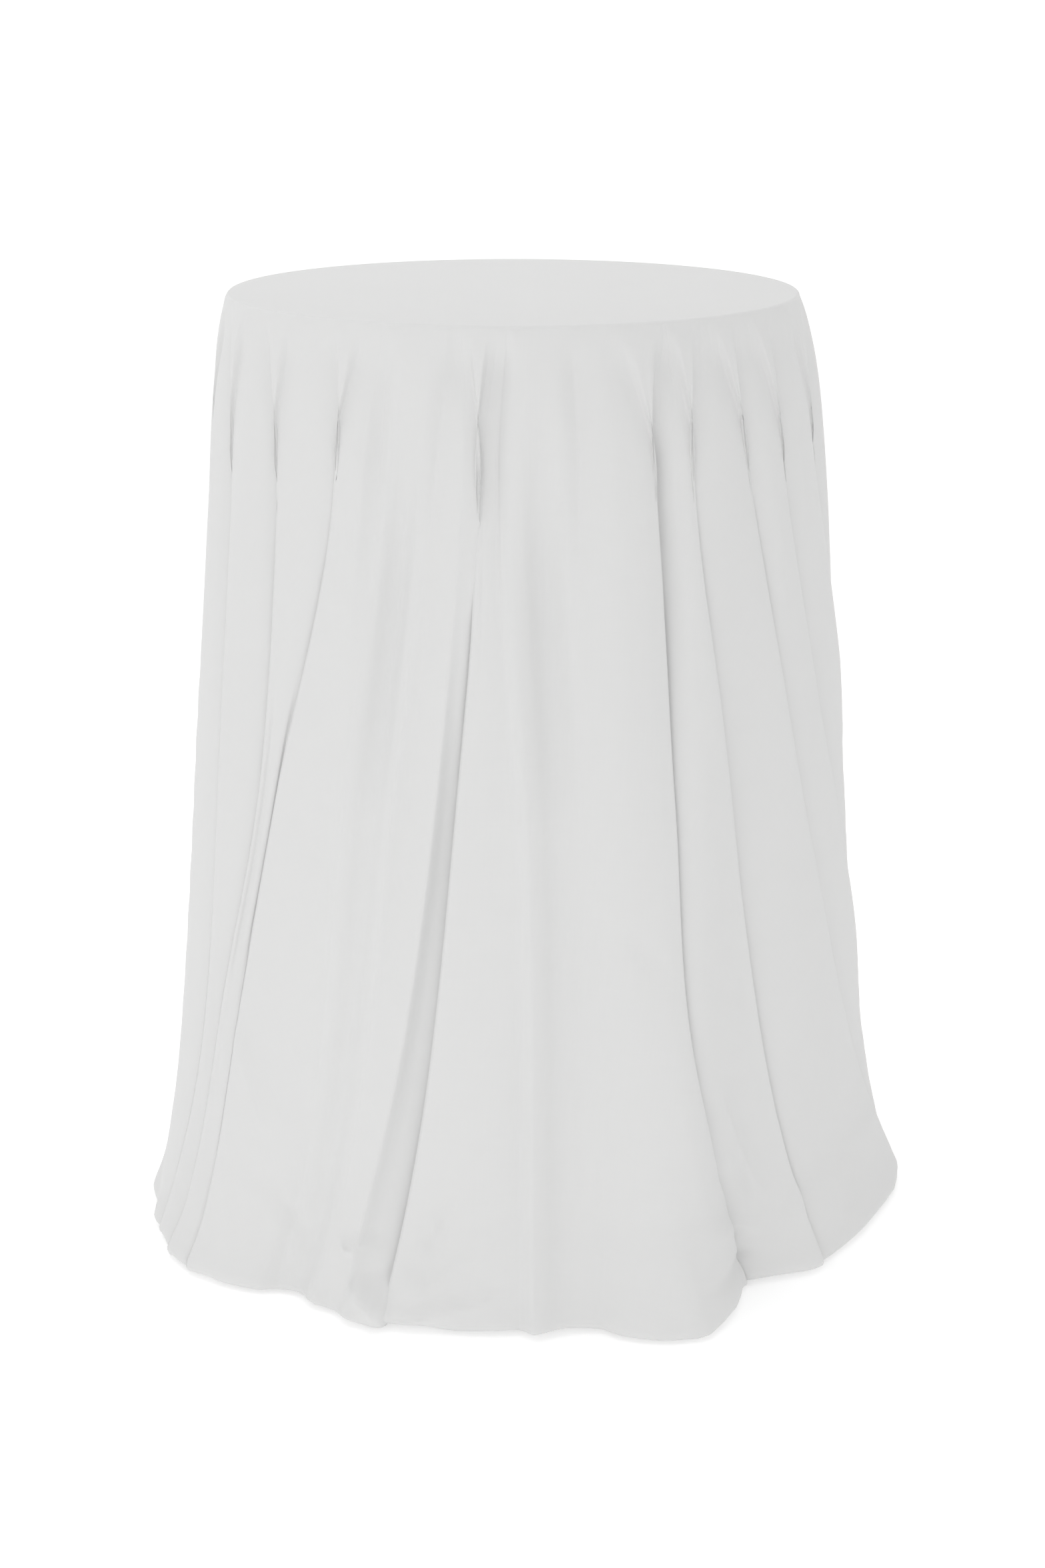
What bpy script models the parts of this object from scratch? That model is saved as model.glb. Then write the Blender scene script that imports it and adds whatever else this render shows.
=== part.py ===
"""A round pedestal cocktail table under a floor-length round tablecloth.

Metres, +Z up. The origin is on the floor, on the column's axis. The front of the table faces -Y.
The cloth, 3.048 m (120 in) across when flat, lies on the top, falls round the rim, billows a little at the
floor and is tucked in under itself.
"""

import math

import bmesh
import bpy
import numpy as np

# ---------------------------------------------------------------- driving dimensions
TABLE_HEIGHT = 1.067          # 42 in, floor to the laminate
TOP_DIAMETER = 0.6096         # 24 in, over the edge band
GAP = 0.0003                  # left between touching pieces

# ---------------------------------------------------------------- table top
LAMINATE_THICK = 0.001
CORE_THICK = 0.018
BAND_THICK = 0.003
TOP_RADIUS = TOP_DIAMETER / 2
CORE_RADIUS = TOP_RADIUS - BAND_THICK - GAP
LAMINATE_LOW = TABLE_HEIGHT - LAMINATE_THICK
CORE_HIGH = LAMINATE_LOW - GAP
CORE_LOW = CORE_HIGH - CORE_THICK

# ---------------------------------------------------------------- steel under the top
PLATE_THICK = 0.005
PLATE_ARM = 0.180             # column axis to the end of an arm
PLATE_WIDTH = 0.050
PLATE_HIGH = CORE_LOW - GAP
PLATE_LOW = PLATE_HIGH - PLATE_THICK
SCREW_CIRCLE = 0.155
SCREW_RADIUS = 0.0025
SCREW_LENGTH = 0.014
SCREW_HEAD_RADIUS = 0.0052
SCREW_HEAD_HEIGHT = 0.0032
SCREW_HEAD_CHAMFER = 0.0012
SCREW_TIP = 0.003
SCREW_CLEARANCE = 0.0004

# ---------------------------------------------------------------- column
TUBE_RADIUS = 0.038
TUBE_WALL = 0.002
SOCKET_FLANGE_RADIUS = 0.055
SOCKET_FLANGE_THICK = 0.006
SPIGOT_LENGTH = 0.030
SPIGOT_WALL = 0.006
ROD_RADIUS = 0.005
ROD_CLEARANCE = 0.0004
ROD_BEYOND_NUT = 0.003
NUT_ACROSS_FLATS = 0.017
NUT_HEIGHT = 0.008
WASHER_RADIUS = 0.0125
WASHER_THICK = 0.002

# ---------------------------------------------------------------- cross base
BASE_LOW = 0.0145             # underside of the arms
HUB_HIGH = 0.056
HUB_RADIUS = 0.062
HUB_RECESS_RADIUS = 0.024
HUB_RECESS_CEILING = 0.032
ARM_REACH = 0.278
ARM_ROOT_WIDTH = 0.058
ARM_TIP_WIDTH = 0.036
ARM_ROOT_HEIGHT = 0.036
ARM_TIP_HEIGHT = 0.020
ARM_BEVEL = 0.003
ARM_TAPER = 0.8               # width at the top of an arm over its width at the bottom
HUB_SHOULDER_HEIGHT = 0.012
HUB_SHOULDER_WIDTH = 0.007
ARM_ANGLES = (45, 135, 225, 315)

# ---------------------------------------------------------------- levelling glides
GLIDE_CIRCLE = 0.258
STEM_RADIUS = 0.004
STEM_TOP = 0.043
BUSH_WALL = 0.0025
BUSH_CLEARANCE = 0.0004
BUSH_LENGTH = 0.017
FLANGE_ACROSS_FLATS = 0.013
FLANGE_HEIGHT = 0.004
FOOT_RADIUS = 0.019
FOOT_HEIGHT = 0.0095
BALL_RADIUS = 0.0062
BALL_LOW = 0.0034
BALL_HIGH = 0.0062
RUNNING_GAP = 0.0005

# ---------------------------------------------------------------- cloth
CLOTH_THICK = 0.0016          # a plain solid for a 0.4 mm cloth
CLOTH_TOP = TABLE_HEIGHT + GAP + CLOTH_THICK
CLOTH_RIM = TOP_RADIUS + GAP + CLOTH_THICK
TUCK_INNER = 0.335            # clears the top when the cloth is lifted off
BILLOW = 0.035                # radius of the roll where the cloth meets the floor
RIM_ROUND = 0.003
AROUND = 60
DROP_RINGS = 8
HEM_WIDTH = 0.012
HEM_THICK = 0.002
# The edge of the cloth on the floor: (degrees anticlockwise from +X, metres from the axis).
FLOOR_EDGE = (
    (0, 0.455), (20, 0.440), (40, 0.415), (58, 0.425), (76, 0.398), (92, 0.386),
    (108, 0.402), (126, 0.428), (145, 0.412), (163, 0.442), (180, 0.440),
    (196, 0.445), (208, 0.446), (222, 0.398), (236, 0.378), (246, 0.398),
    (262, 0.366), (280, 0.378), (300, 0.432), (314, 0.386), (330, 0.428), (345, 0.446),
)


# ---------------------------------------------------------------- materials
def material(name, colour, roughness, metallic=0.0):
    """A plain Principled material for one kind of part."""
    made = bpy.data.materials.new(name)
    made.use_nodes = True
    shader = made.node_tree.nodes["Principled BSDF"]
    shader.inputs["Base Color"].default_value = (*colour, 1.0)
    shader.inputs["Roughness"].default_value = roughness
    shader.inputs["Metallic"].default_value = metallic
    made.diffuse_color = (*colour, 1.0)
    return made


def materials():
    """Every material by the name of its slot."""
    return {
        "cloth": material("cloth", (0.80, 0.80, 0.79), 0.85),
        "hem": material("hem", (0.78, 0.78, 0.77), 0.85),
        "laminate": material("laminate", (0.62, 0.58, 0.50), 0.35),
        "plywood": material("plywood", (0.62, 0.45, 0.27), 0.6),
        "edge_band": material("edge_band", (0.05, 0.05, 0.05), 0.45),
        "steel": material("steel", (0.03, 0.03, 0.03), 0.45, 0.6),
        "cast_iron": material("cast_iron", (0.04, 0.04, 0.04), 0.6, 0.5),
        "zinc": material("zinc", (0.60, 0.60, 0.58), 0.35, 1.0),
        "nylon": material("nylon", (0.06, 0.06, 0.06), 0.5),
    }


# ---------------------------------------------------------------- modelling helpers
def add_object(name, mesh, paint, place=(0, 0, 0), turn=0.0):
    """A mesh as a named object with its material, at a place, turned about Z by degrees."""
    made = bpy.data.objects.new(name, mesh)
    made.location = place
    made.rotation_euler[2] = math.radians(turn)
    mesh.materials.append(paint)
    bpy.context.scene.collection.objects.link(made)
    return made


def finish_mesh(name, shape, sharp=40):
    """Turns a bmesh into a mesh with its faces out, smooth over its round sides."""
    bmesh.ops.remove_doubles(shape, verts=shape.verts[:], dist=1e-5)
    bmesh.ops.recalc_face_normals(shape, faces=shape.faces[:])
    mesh = bpy.data.meshes.new(name)
    shape.to_mesh(mesh)
    shape.free()
    mesh.shade_smooth()
    mesh.set_sharp_from_angle(angle=math.radians(sharp))
    return mesh


def turned(name, profile, steps=32):
    """A closed (radius, height) profile turned about Z."""
    shape = bmesh.new()
    points = [shape.verts.new((radius, 0, height)) for radius, height in profile]
    edges = []
    for this, following in zip(points, points[1:] + points[:1]):
        on_axis = this.co.x < 1e-6 and following.co.x < 1e-6
        if not on_axis:
            edges.append(shape.edges.new((this, following)))
    bmesh.ops.spin(
        shape, geom=points + edges, cent=(0, 0, 0), axis=(0, 0, 1),
        angle=2 * math.pi, steps=steps, use_merge=True,
    )
    return finish_mesh(name, shape)


def disc_profile(radius, low, high, chamfer=0.0):
    """The profile of a solid disc or rod, with chamfered ends."""
    return [
        (0, low), (radius - chamfer, low), (radius, low + chamfer),
        (radius, high - chamfer), (radius - chamfer, high), (0, high),
    ] if chamfer else [(0, low), (radius, low), (radius, high), (0, high)]


def ring_profile(inner, outer, low, high):
    """The profile of a plain ring."""
    return [(inner, low), (outer, low), (outer, high), (inner, high)]


def prism(name, outline, low, high, bevel=0.0):
    """A flat outline extruded from one height to another, its edges bevelled."""
    shape = bmesh.new()
    face = shape.faces.new([shape.verts.new((x, y, low)) for x, y in outline])
    lifted = bmesh.ops.extrude_face_region(shape, geom=[face])
    top = [v for v in lifted["geom"] if isinstance(v, bmesh.types.BMVert)]
    bmesh.ops.translate(shape, verts=top, vec=(0, 0, high - low))
    if bevel:
        bmesh.ops.bevel(shape, geom=shape.edges[:], offset=bevel, segments=1, affect="EDGES")
    return finish_mesh(name, shape)


def hexagon(across_flats):
    """The corners of a hexagon, from the width across its flats."""
    radius = across_flats / math.sqrt(3)
    return [
        (radius * math.cos(math.radians(60 * k)), radius * math.sin(math.radians(60 * k)))
        for k in range(6)
    ]


def cutter(name, mesh, place=(0, 0, 0)):
    """An object that only cuts others and is never part of the model."""
    made = bpy.data.objects.new(name, mesh)
    made.location = place
    made.hide_render = True
    made.display_type = "WIRE"
    bpy.context.scene.collection.objects.link(made)
    return made


def combine(target, tool, operation="DIFFERENCE"):
    """A Boolean modifier that cuts the target with the tool, or joins the two."""
    step = target.modifiers.new(operation.lower(), "BOOLEAN")
    step.operation = operation
    step.solver = "EXACT"
    step.object = tool


def around(radius, degrees):
    """A point at that radius and angle about the column's axis."""
    return (radius * math.cos(math.radians(degrees)), radius * math.sin(math.radians(degrees)))


# ---------------------------------------------------------------- the table top
def make_top(paints):
    """Laminate, core with its pilot holes, and edge band."""
    laminate = turned("laminate", disc_profile(CORE_RADIUS, LAMINATE_LOW, TABLE_HEIGHT), AROUND)
    add_object("top_laminate", laminate, paints["laminate"])
    core_mesh = turned("top_core", disc_profile(CORE_RADIUS, CORE_LOW, CORE_HIGH), AROUND)
    core = add_object("top_core", core_mesh, paints["plywood"])
    band = ring_profile(CORE_RADIUS + GAP, TOP_RADIUS, CORE_LOW, TABLE_HEIGHT)
    add_object("top_edge_band", turned("top_edge_band", band, AROUND), paints["edge_band"])
    hole_radius = SCREW_RADIUS + SCREW_CLEARANCE
    hole_top = PLATE_LOW + SCREW_LENGTH + SCREW_CLEARANCE
    hole = turned("pilot_hole", disc_profile(hole_radius, PLATE_LOW - PLATE_THICK, hole_top), 10)
    plate = make_mounting_plate(paints)
    for index, angle in enumerate(ARM_ANGLES, 1):
        x, y = around(SCREW_CIRCLE, angle)
        tool = cutter(f"pilot_hole_cut_{index}", hole, (x, y, 0))
        combine(core, tool)
        combine(plate, tool)
        screw = add_object(f"mounting_screw_{index}", make_screw_mesh(), paints["zinc"])
        screw.location = (x, y, 0)


def make_screw_mesh():
    """A pan-head screw, head down, driven up through the plate into the core."""
    head_high = PLATE_LOW - GAP
    head_low = head_high - SCREW_HEAD_HEIGHT
    tip = PLATE_LOW + SCREW_LENGTH
    profile = [
        (0, head_low), (SCREW_HEAD_RADIUS * 0.7, head_low),
        (SCREW_HEAD_RADIUS, head_low + SCREW_HEAD_CHAMFER), (SCREW_HEAD_RADIUS, head_high),
        (SCREW_RADIUS, head_high), (SCREW_RADIUS, tip - SCREW_TIP), (0, tip),
    ]
    return turned("mounting_screw", profile, 10)


def make_mounting_plate(paints):
    """The four-armed steel plate under the top."""
    half = PLATE_WIDTH / 2
    outline = []
    for quarter in range(4):
        turn = math.radians(90 * quarter)
        for x, y in ((half, -half), (PLATE_ARM, -half), (PLATE_ARM, half)):
            turned_x = x * math.cos(turn) - y * math.sin(turn)
            turned_y = x * math.sin(turn) + y * math.cos(turn)
            outline.append((turned_x, turned_y))
    mesh = prism("mounting_plate", outline, PLATE_LOW, PLATE_HIGH)
    return add_object("mounting_plate", mesh, paints["steel"], turn=ARM_ANGLES[0])


# ---------------------------------------------------------------- the column
def socket_profile(flange_face, direction):
    """A flanged socket: flange_face is where the tube stops, direction +1 puts the spigot above it."""
    spigot_radius = TUBE_RADIUS - TUBE_WALL - GAP
    bore = ROD_RADIUS + ROD_CLEARANCE
    cup = spigot_radius - SPIGOT_WALL
    back = flange_face - direction * SOCKET_FLANGE_THICK
    end = flange_face + direction * SPIGOT_LENGTH
    return [
        (bore, back), (SOCKET_FLANGE_RADIUS, back), (SOCKET_FLANGE_RADIUS, flange_face),
        (spigot_radius, flange_face), (spigot_radius, end),
        (cup, end), (cup, flange_face), (bore, flange_face),
    ]


def make_column(paints):
    """Sockets, tube, tie rod, washer and nut."""
    upper_face = PLATE_LOW - GAP - SOCKET_FLANGE_THICK
    lower_face = HUB_HIGH + GAP + SOCKET_FLANGE_THICK
    upper = turned("upper_socket", socket_profile(upper_face, -1))
    lower = turned("base_socket", socket_profile(lower_face, 1))
    add_object("upper_socket", upper, paints["cast_iron"])
    add_object("base_socket", lower, paints["cast_iron"])
    tube = ring_profile(TUBE_RADIUS - TUBE_WALL, TUBE_RADIUS, lower_face + GAP, upper_face - GAP)
    add_object("column_tube", turned("column_tube", tube), paints["steel"])
    rod_low = HUB_RECESS_CEILING - GAP - WASHER_THICK - GAP - NUT_HEIGHT - ROD_BEYOND_NUT
    rod = turned("tie_rod", disc_profile(ROD_RADIUS, rod_low, PLATE_LOW - GAP, 0.0008), 16)
    add_object("tie_rod", rod, paints["zinc"])
    washer_low = HUB_RECESS_CEILING - GAP - WASHER_THICK
    hole = ROD_RADIUS + ROD_CLEARANCE
    washer = ring_profile(hole, WASHER_RADIUS, washer_low, washer_low + WASHER_THICK)
    add_object("tie_rod_washer", turned("tie_rod_washer", washer, 24), paints["zinc"])
    nut_high = washer_low - GAP
    nut = add_object(
        "tie_rod_nut", prism("tie_rod_nut", hexagon(NUT_ACROSS_FLATS), nut_high - NUT_HEIGHT, nut_high),
        paints["zinc"],
    )
    combine(nut, cutter("nut_bore", turned("nut_bore", disc_profile(hole, 0.0, HUB_HIGH), 16)))


# ---------------------------------------------------------------- the cross base
def arm_mesh():
    """One tapered arm along +X, from inside the hub to its rounded-off tip."""
    shape = bmesh.new()
    corners = []
    ends = ((0.0, ARM_ROOT_WIDTH, ARM_ROOT_HEIGHT), (ARM_REACH, ARM_TIP_WIDTH, ARM_TIP_HEIGHT))
    for x, width, height in ends:
        low = width / 2
        high = low * ARM_TAPER
        top = BASE_LOW + height
        for y, z in ((-low, BASE_LOW), (low, BASE_LOW), (high, top), (-high, top)):
            corners.append(shape.verts.new((x, y, z)))
    for quad in ((0, 1, 2, 3), (7, 6, 5, 4), (0, 4, 5, 1), (1, 5, 6, 2), (2, 6, 7, 3), (3, 7, 4, 0)):
        shape.faces.new([corners[k] for k in quad])
    tip = [e for e in shape.edges if all(v.co.x > ARM_REACH / 2 for v in e.verts)]
    bmesh.ops.bevel(shape, geom=tip, offset=ARM_BEVEL * 2, segments=2, affect="EDGES")
    return finish_mesh("arm", shape)


def make_base(paints):
    """Hub with its nut recess and four arms, drilled for the tie rod and the glide bushes."""
    hub_profile = [
        (0, BASE_LOW), (HUB_RADIUS - ARM_BEVEL, BASE_LOW), (HUB_RADIUS, BASE_LOW + ARM_BEVEL),
        (HUB_RADIUS, HUB_HIGH - HUB_SHOULDER_HEIGHT), (HUB_RADIUS - HUB_SHOULDER_WIDTH, HUB_HIGH),
        (0, HUB_HIGH),
    ]
    base = add_object("cross_base", turned("cross_base", hub_profile), paints["cast_iron"])
    mesh = arm_mesh()
    for index, angle in enumerate(ARM_ANGLES, 1):
        arm = cutter(f"arm_{index}", mesh)
        arm.rotation_euler[2] = math.radians(angle)
        combine(base, arm, "UNION")
    recess = turned("nut_recess", disc_profile(HUB_RECESS_RADIUS, 0.0, HUB_RECESS_CEILING), 24)
    combine(base, cutter("nut_recess_cut", recess))
    bore = turned("rod_bore", disc_profile(ROD_RADIUS + ROD_CLEARANCE, 0.0, HUB_HIGH + 0.01), 16)
    combine(base, cutter("rod_bore_cut", bore))
    bush_outer = STEM_RADIUS + BUSH_CLEARANCE + BUSH_WALL
    hole = turned("bush_hole", disc_profile(bush_outer + GAP, 0.0, HUB_HIGH + 0.01), 16)
    for index, angle in enumerate(ARM_ANGLES, 1):
        x, y = around(GLIDE_CIRCLE, angle)
        combine(base, cutter(f"bush_hole_cut_{index}", hole, (x, y, 0)))
        make_glide(index, (x, y, 0), bush_outer, paints)


# ---------------------------------------------------------------- a levelling glide
def make_glide(index, place, bush_outer, paints):
    """Threaded bush, hex-flanged stem and swivelling foot, on one vertical axis."""
    bush = ring_profile(STEM_RADIUS + BUSH_CLEARANCE, bush_outer, BASE_LOW, BASE_LOW + BUSH_LENGTH)
    add_object(f"glide_bush_{index}", turned("glide_bush", bush, 16), paints["zinc"], place)
    stem = add_object(f"glide_stem_{index}", stem_mesh(), paints["zinc"], place)
    flange_high = BASE_LOW - RUNNING_GAP
    flange = prism("stem_flange", hexagon(FLANGE_ACROSS_FLATS), flange_high - FLANGE_HEIGHT, flange_high)
    combine(stem, cutter(f"stem_flange_{index}", flange, place), "UNION")
    add_object(f"glide_foot_{index}", foot_mesh(), paints["nylon"], place)


def stem_mesh():
    """The stem of a glide: a rod with a button at its foot, which the pad turns on."""
    profile = [
        (0, BALL_LOW), (BALL_RADIUS, BALL_LOW), (BALL_RADIUS, BALL_HIGH), (STEM_RADIUS, BALL_HIGH),
        (STEM_RADIUS, STEM_TOP - 0.001), (STEM_RADIUS - 0.001, STEM_TOP), (0, STEM_TOP),
    ]
    return turned("glide_stem", profile, 16)


def foot_mesh():
    """The pad of a glide, with the undercut pocket that holds the stem's button."""
    pocket_radius = BALL_RADIUS + RUNNING_GAP
    pocket_low = BALL_LOW - RUNNING_GAP
    pocket_high = BALL_HIGH + RUNNING_GAP
    neck = STEM_RADIUS + RUNNING_GAP
    profile = [
        (0, 0), (FOOT_RADIUS - 0.0015, 0), (FOOT_RADIUS, 0.0015), (FOOT_RADIUS, 0.004),
        (FOOT_RADIUS * 0.55, FOOT_HEIGHT), (neck, FOOT_HEIGHT), (neck, pocket_high),
        (pocket_radius, pocket_high), (pocket_radius, pocket_low), (0, pocket_low),
    ]
    return turned("glide_foot", profile, 20)


# ---------------------------------------------------------------- the cloth
def floor_radius(degrees):
    """How far the cloth reaches from the axis on the floor, eased between the edge's points."""
    angles = np.array([a for a, _ in FLOOR_EDGE] + [360])
    radii = np.array([r for _, r in FLOOR_EDGE] + [FLOOR_EDGE[0][1]])
    turn = degrees % 360
    k = min(np.searchsorted(angles, turn, side="right") - 1, len(FLOOR_EDGE) - 1)
    share = (turn - angles[k]) / (angles[k + 1] - angles[k])
    ease = share * share * (3 - 2 * share)
    return float(radii[k] + (radii[k + 1] - radii[k]) * ease)


def flare(fall):
    """Share of the full flare at a share of the fall: quick at the rim, steady, then quick at the floor."""
    return 0.15 * (1 - math.exp(-fall / 0.06)) + 0.72 * fall ** 1.15 + 0.13 * fall ** 8


def cloth_outside(degrees):
    """The outer (radius, height) points at one angle, from the top's edge to the tucked-in edge."""
    reach = floor_radius(degrees)
    roll = min(BILLOW, 0.75 * (reach - TUCK_INNER))
    points = [(CLOTH_RIM - RIM_ROUND, CLOTH_TOP), (CLOTH_RIM - 0.3 * RIM_ROUND, CLOTH_TOP - 0.3 * RIM_ROUND)]
    start = CLOTH_TOP - RIM_ROUND
    for ring in range(DROP_RINGS + 1):
        height = start + (roll - start) * ring / DROP_RINGS
        fall = (start - height) / (start - roll)
        points.append((CLOTH_RIM + (reach - CLOTH_RIM) * flare(fall), height))
    for step in (30, 60, 90):
        bend = math.radians(step)
        points.append((reach - roll + roll * math.cos(bend), roll - roll * math.sin(bend)))
    points.append((TUCK_INNER, 0.0))
    return points


def cloth_inside(outside):
    """The inner points that go with cloth_outside, one thickness further in along the profile's normal."""
    line = np.array(outside)
    along = np.gradient(line, axis=0)
    along /= np.linalg.norm(along, axis=1)[:, None]
    inward = np.stack([along[:, 1], -along[:, 0]], axis=1)
    moved = line + inward * CLOTH_THICK
    moved[0] = (line[0][0], CLOTH_TOP - CLOTH_THICK)
    moved[1:3, 0] = CLOTH_RIM - CLOTH_THICK
    moved[1] = (CLOTH_RIM - CLOTH_THICK - 0.0002, CLOTH_TOP - CLOTH_THICK)
    moved[-2:, 1] = CLOTH_THICK
    moved[-1, 0] = TUCK_INNER
    return [tuple(p) for p in moved]


def cloth_mesh():
    """The cloth as one thin closed shell, open at the bottom, from its profiles round the axis."""
    shape = bmesh.new()
    loops = []
    for k in range(AROUND):
        degrees = 360 * k / AROUND
        outside = cloth_outside(degrees)
        profile = outside + cloth_inside(outside)[::-1]
        turn = math.radians(degrees)
        loops.append([shape.verts.new((r * math.cos(turn), r * math.sin(turn), z)) for r, z in profile])
    crown = shape.verts.new((0, 0, CLOTH_TOP))
    under = shape.verts.new((0, 0, CLOTH_TOP - CLOTH_THICK))
    for this, following in zip(loops, loops[1:] + loops[:1]):
        for k in range(len(this) - 1):
            shape.faces.new((this[k], this[k + 1], following[k + 1], following[k]))
        shape.faces.new((crown, this[0], following[0]))
        shape.faces.new((under, following[-1], this[-1]))
    bmesh.ops.triangulate(shape, faces=shape.faces[:])
    return finish_mesh("tablecloth", shape)


def make_cloth(paints):
    """The cloth and the stitched hem at its tucked-in edge."""
    add_object("tablecloth", cloth_mesh(), paints["cloth"])
    outer = TUCK_INNER - GAP
    hem = ring_profile(outer - HEM_WIDTH, outer, GAP, GAP + HEM_THICK)
    add_object("cloth_hem", turned("cloth_hem", hem, AROUND), paints["hem"])


def main():
    """Clears the scene and builds every part."""
    for left_over in list(bpy.data.objects):
        bpy.data.objects.remove(left_over)
    paints = materials()
    make_top(paints)
    make_column(paints)
    make_base(paints)
    make_cloth(paints)


main()
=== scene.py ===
import logging
import math
from dataclasses import dataclass, field
from enum import Enum

import bpy
import numpy as np
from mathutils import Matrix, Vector


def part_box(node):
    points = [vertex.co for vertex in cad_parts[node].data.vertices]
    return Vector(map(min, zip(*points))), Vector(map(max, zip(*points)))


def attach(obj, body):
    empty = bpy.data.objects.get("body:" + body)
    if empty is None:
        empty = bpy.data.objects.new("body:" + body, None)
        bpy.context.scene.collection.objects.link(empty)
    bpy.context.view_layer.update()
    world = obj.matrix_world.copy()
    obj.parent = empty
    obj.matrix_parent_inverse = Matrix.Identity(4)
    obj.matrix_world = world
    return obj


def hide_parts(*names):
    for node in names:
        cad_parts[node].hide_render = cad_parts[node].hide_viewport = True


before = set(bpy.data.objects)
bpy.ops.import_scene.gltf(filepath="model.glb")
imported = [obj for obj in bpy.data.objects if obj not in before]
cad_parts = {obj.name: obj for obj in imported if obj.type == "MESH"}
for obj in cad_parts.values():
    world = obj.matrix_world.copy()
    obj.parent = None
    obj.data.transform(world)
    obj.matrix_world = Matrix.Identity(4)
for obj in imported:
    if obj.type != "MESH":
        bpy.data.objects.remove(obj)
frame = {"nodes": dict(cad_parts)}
log = logging.getLogger("draped_table")
Colour = tuple[float, float, float]
RIM_RADIUS = 0.3065  # the cloth's radius where it turns down at the table's edge
SHEET_BELOW_TOP = 0.0012  # how far the sheet lies below the highest point of the CAD cloth


# ---------------------------------------------------------------- mathematics shared by the pieces
def ease(values: np.ndarray, low: float, high: float) -> np.ndarray:
    """Smooth step: 0 up to low, 1 from high on, 3 x^2 - 2 x^3 between them.

    Args:
        values: Where to work it out.
        low: The end of the zero stretch.
        high: The start of the one stretch.

    Returns:
        The step's height at each value.
    """
    x = np.clip((np.asarray(values, float) - low) / (high - low), 0.0, 1.0)
    return x * x * (3.0 - 2.0 * x)


def smooth_through(values: np.ndarray, knots: np.ndarray, heights: np.ndarray) -> np.ndarray:
    """A smooth curve through points: cubic Hermite pieces whose slope at a knot is the central difference.

    Args:
        values: Where to work it out.
        knots: The points' places, rising.
        heights: The points' heights.

    Returns:
        The curve's height at each value.
    """
    knots = np.asarray(knots, float)
    heights = np.asarray(heights, float)
    slopes = np.gradient(heights, knots)
    piece = np.clip(np.searchsorted(knots, values, side="right") - 1, 0, len(knots) - 2)
    width = knots[piece + 1] - knots[piece]
    x = np.clip((values - knots[piece]) / width, 0.0, 1.0)
    return (
        (2 * x**3 - 3 * x**2 + 1) * heights[piece]
        + (x**3 - 2 * x**2 + x) * width * slopes[piece]
        + (3 * x**2 - 2 * x**3) * heights[piece + 1]
        + (x**3 - x**2) * width * slopes[piece + 1]
    )


def round_trip(azimuth: np.ndarray, points: tuple[tuple[float, float], ...]) -> np.ndarray:
    """A smooth closed curve of azimuth in degrees through points given once round.

    Args:
        azimuth: Where to work it out, in degrees.
        points: (azimuth, height) pairs with rising azimuth, within one turn.

    Returns:
        The curve's height at each azimuth.
    """
    turn = np.array(points, float)
    before = turn - (360.0, 0.0)
    after = turn + (360.0, 0.0)
    knots, heights = np.vstack([before, turn, after]).T
    start = turn[0, 0]
    return smooth_through((np.asarray(azimuth) - start) % 360.0 + start, knots, heights)


def polar(radius: np.ndarray, azimuth: np.ndarray) -> np.ndarray:
    """Points in the floor plane: azimuth 0 is the front, -Y, and it grows towards +X."""
    angle = np.radians(azimuth)
    return np.stack([radius * np.sin(angle), -radius * np.cos(angle)], axis=-1)


def azimuth_of(points: np.ndarray) -> np.ndarray:
    """The azimuth in degrees of points in the floor plane."""
    return np.degrees(np.arctan2(points[..., 0], -points[..., 1]))


def closed_spline(controls: np.ndarray, samples: tuple[int, ...]) -> np.ndarray:
    """Closed uniform cubic B-splines, one for each row of control points.

    Args:
        controls: Control points, rows by points by 2.
        samples: How many points each span gets; the pattern repeats round the curve.

    Returns:
        Points on the curves, rows by samples by 2.
    """
    count = controls.shape[1]
    pattern = np.resize(samples, count)
    span = np.repeat(np.arange(count), pattern)
    x = np.concatenate([np.arange(n) / n for n in pattern])
    weights = np.stack([(1 - x) ** 3, 3 * x**3 - 6 * x**2 + 4, -3 * x**3 + 3 * x**2 + 3 * x + 1, x**3]) / 6
    return sum(weights[k][None, :, None] * controls[:, (span + k - 1) % count] for k in range(4))


def value_noise(points: np.ndarray, pitch: float, seed: int) -> np.ndarray:
    """Smooth noise between -1 and 1: random heights on a grid of the pitch, eased between its corners.

    Args:
        points: Places, any shape ending in 2.
        pitch: The grid's pitch in metres.
        seed: Which noise.

    Returns:
        The noise at each place.
    """
    heights = np.random.default_rng(seed).uniform(-1, 1, (256, 256))
    place = points / pitch
    corner = np.floor(place).astype(int)
    x, y = np.moveaxis(place - corner, -1, 0)
    x = x * x * (3 - 2 * x)
    y = y * y * (3 - 2 * y)
    i, j = np.moveaxis(corner % 255, -1, 0)
    low = heights[i, j] * (1 - x) + heights[i + 1, j] * x
    high = heights[i, j + 1] * (1 - x) + heights[i + 1, j + 1] * x
    return low * (1 - y) + high * y


def halfway(points: np.ndarray, axis: int, closed: bool) -> np.ndarray:
    """A grid with a new point between each two along an axis.

    A new point is 9/16 of its two neighbours added together, less 1/16 of the next two added together.

    Args:
        points: The grid of points.
        axis: The axis to refine.
        closed: Whether the grid closes round along that axis.

    Returns:
        The finer grid, whose old points are unmoved.
    """
    line = np.moveaxis(points, axis, 0)
    if closed:
        around = np.concatenate([line[-1:], line, line[:2]])
    else:
        around = np.concatenate([2 * line[:1] - line[1:2], line, 2 * line[-1:] - line[-2:-1]])
    between = (9 * (around[1:-2] + around[2:-1]) - (around[:-3] + around[3:])) / 16
    finer = np.empty((len(line) + len(between), *line.shape[1:]))
    finer[0::2] = line
    finer[1::2] = between
    return np.moveaxis(finer, 0, axis)


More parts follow.
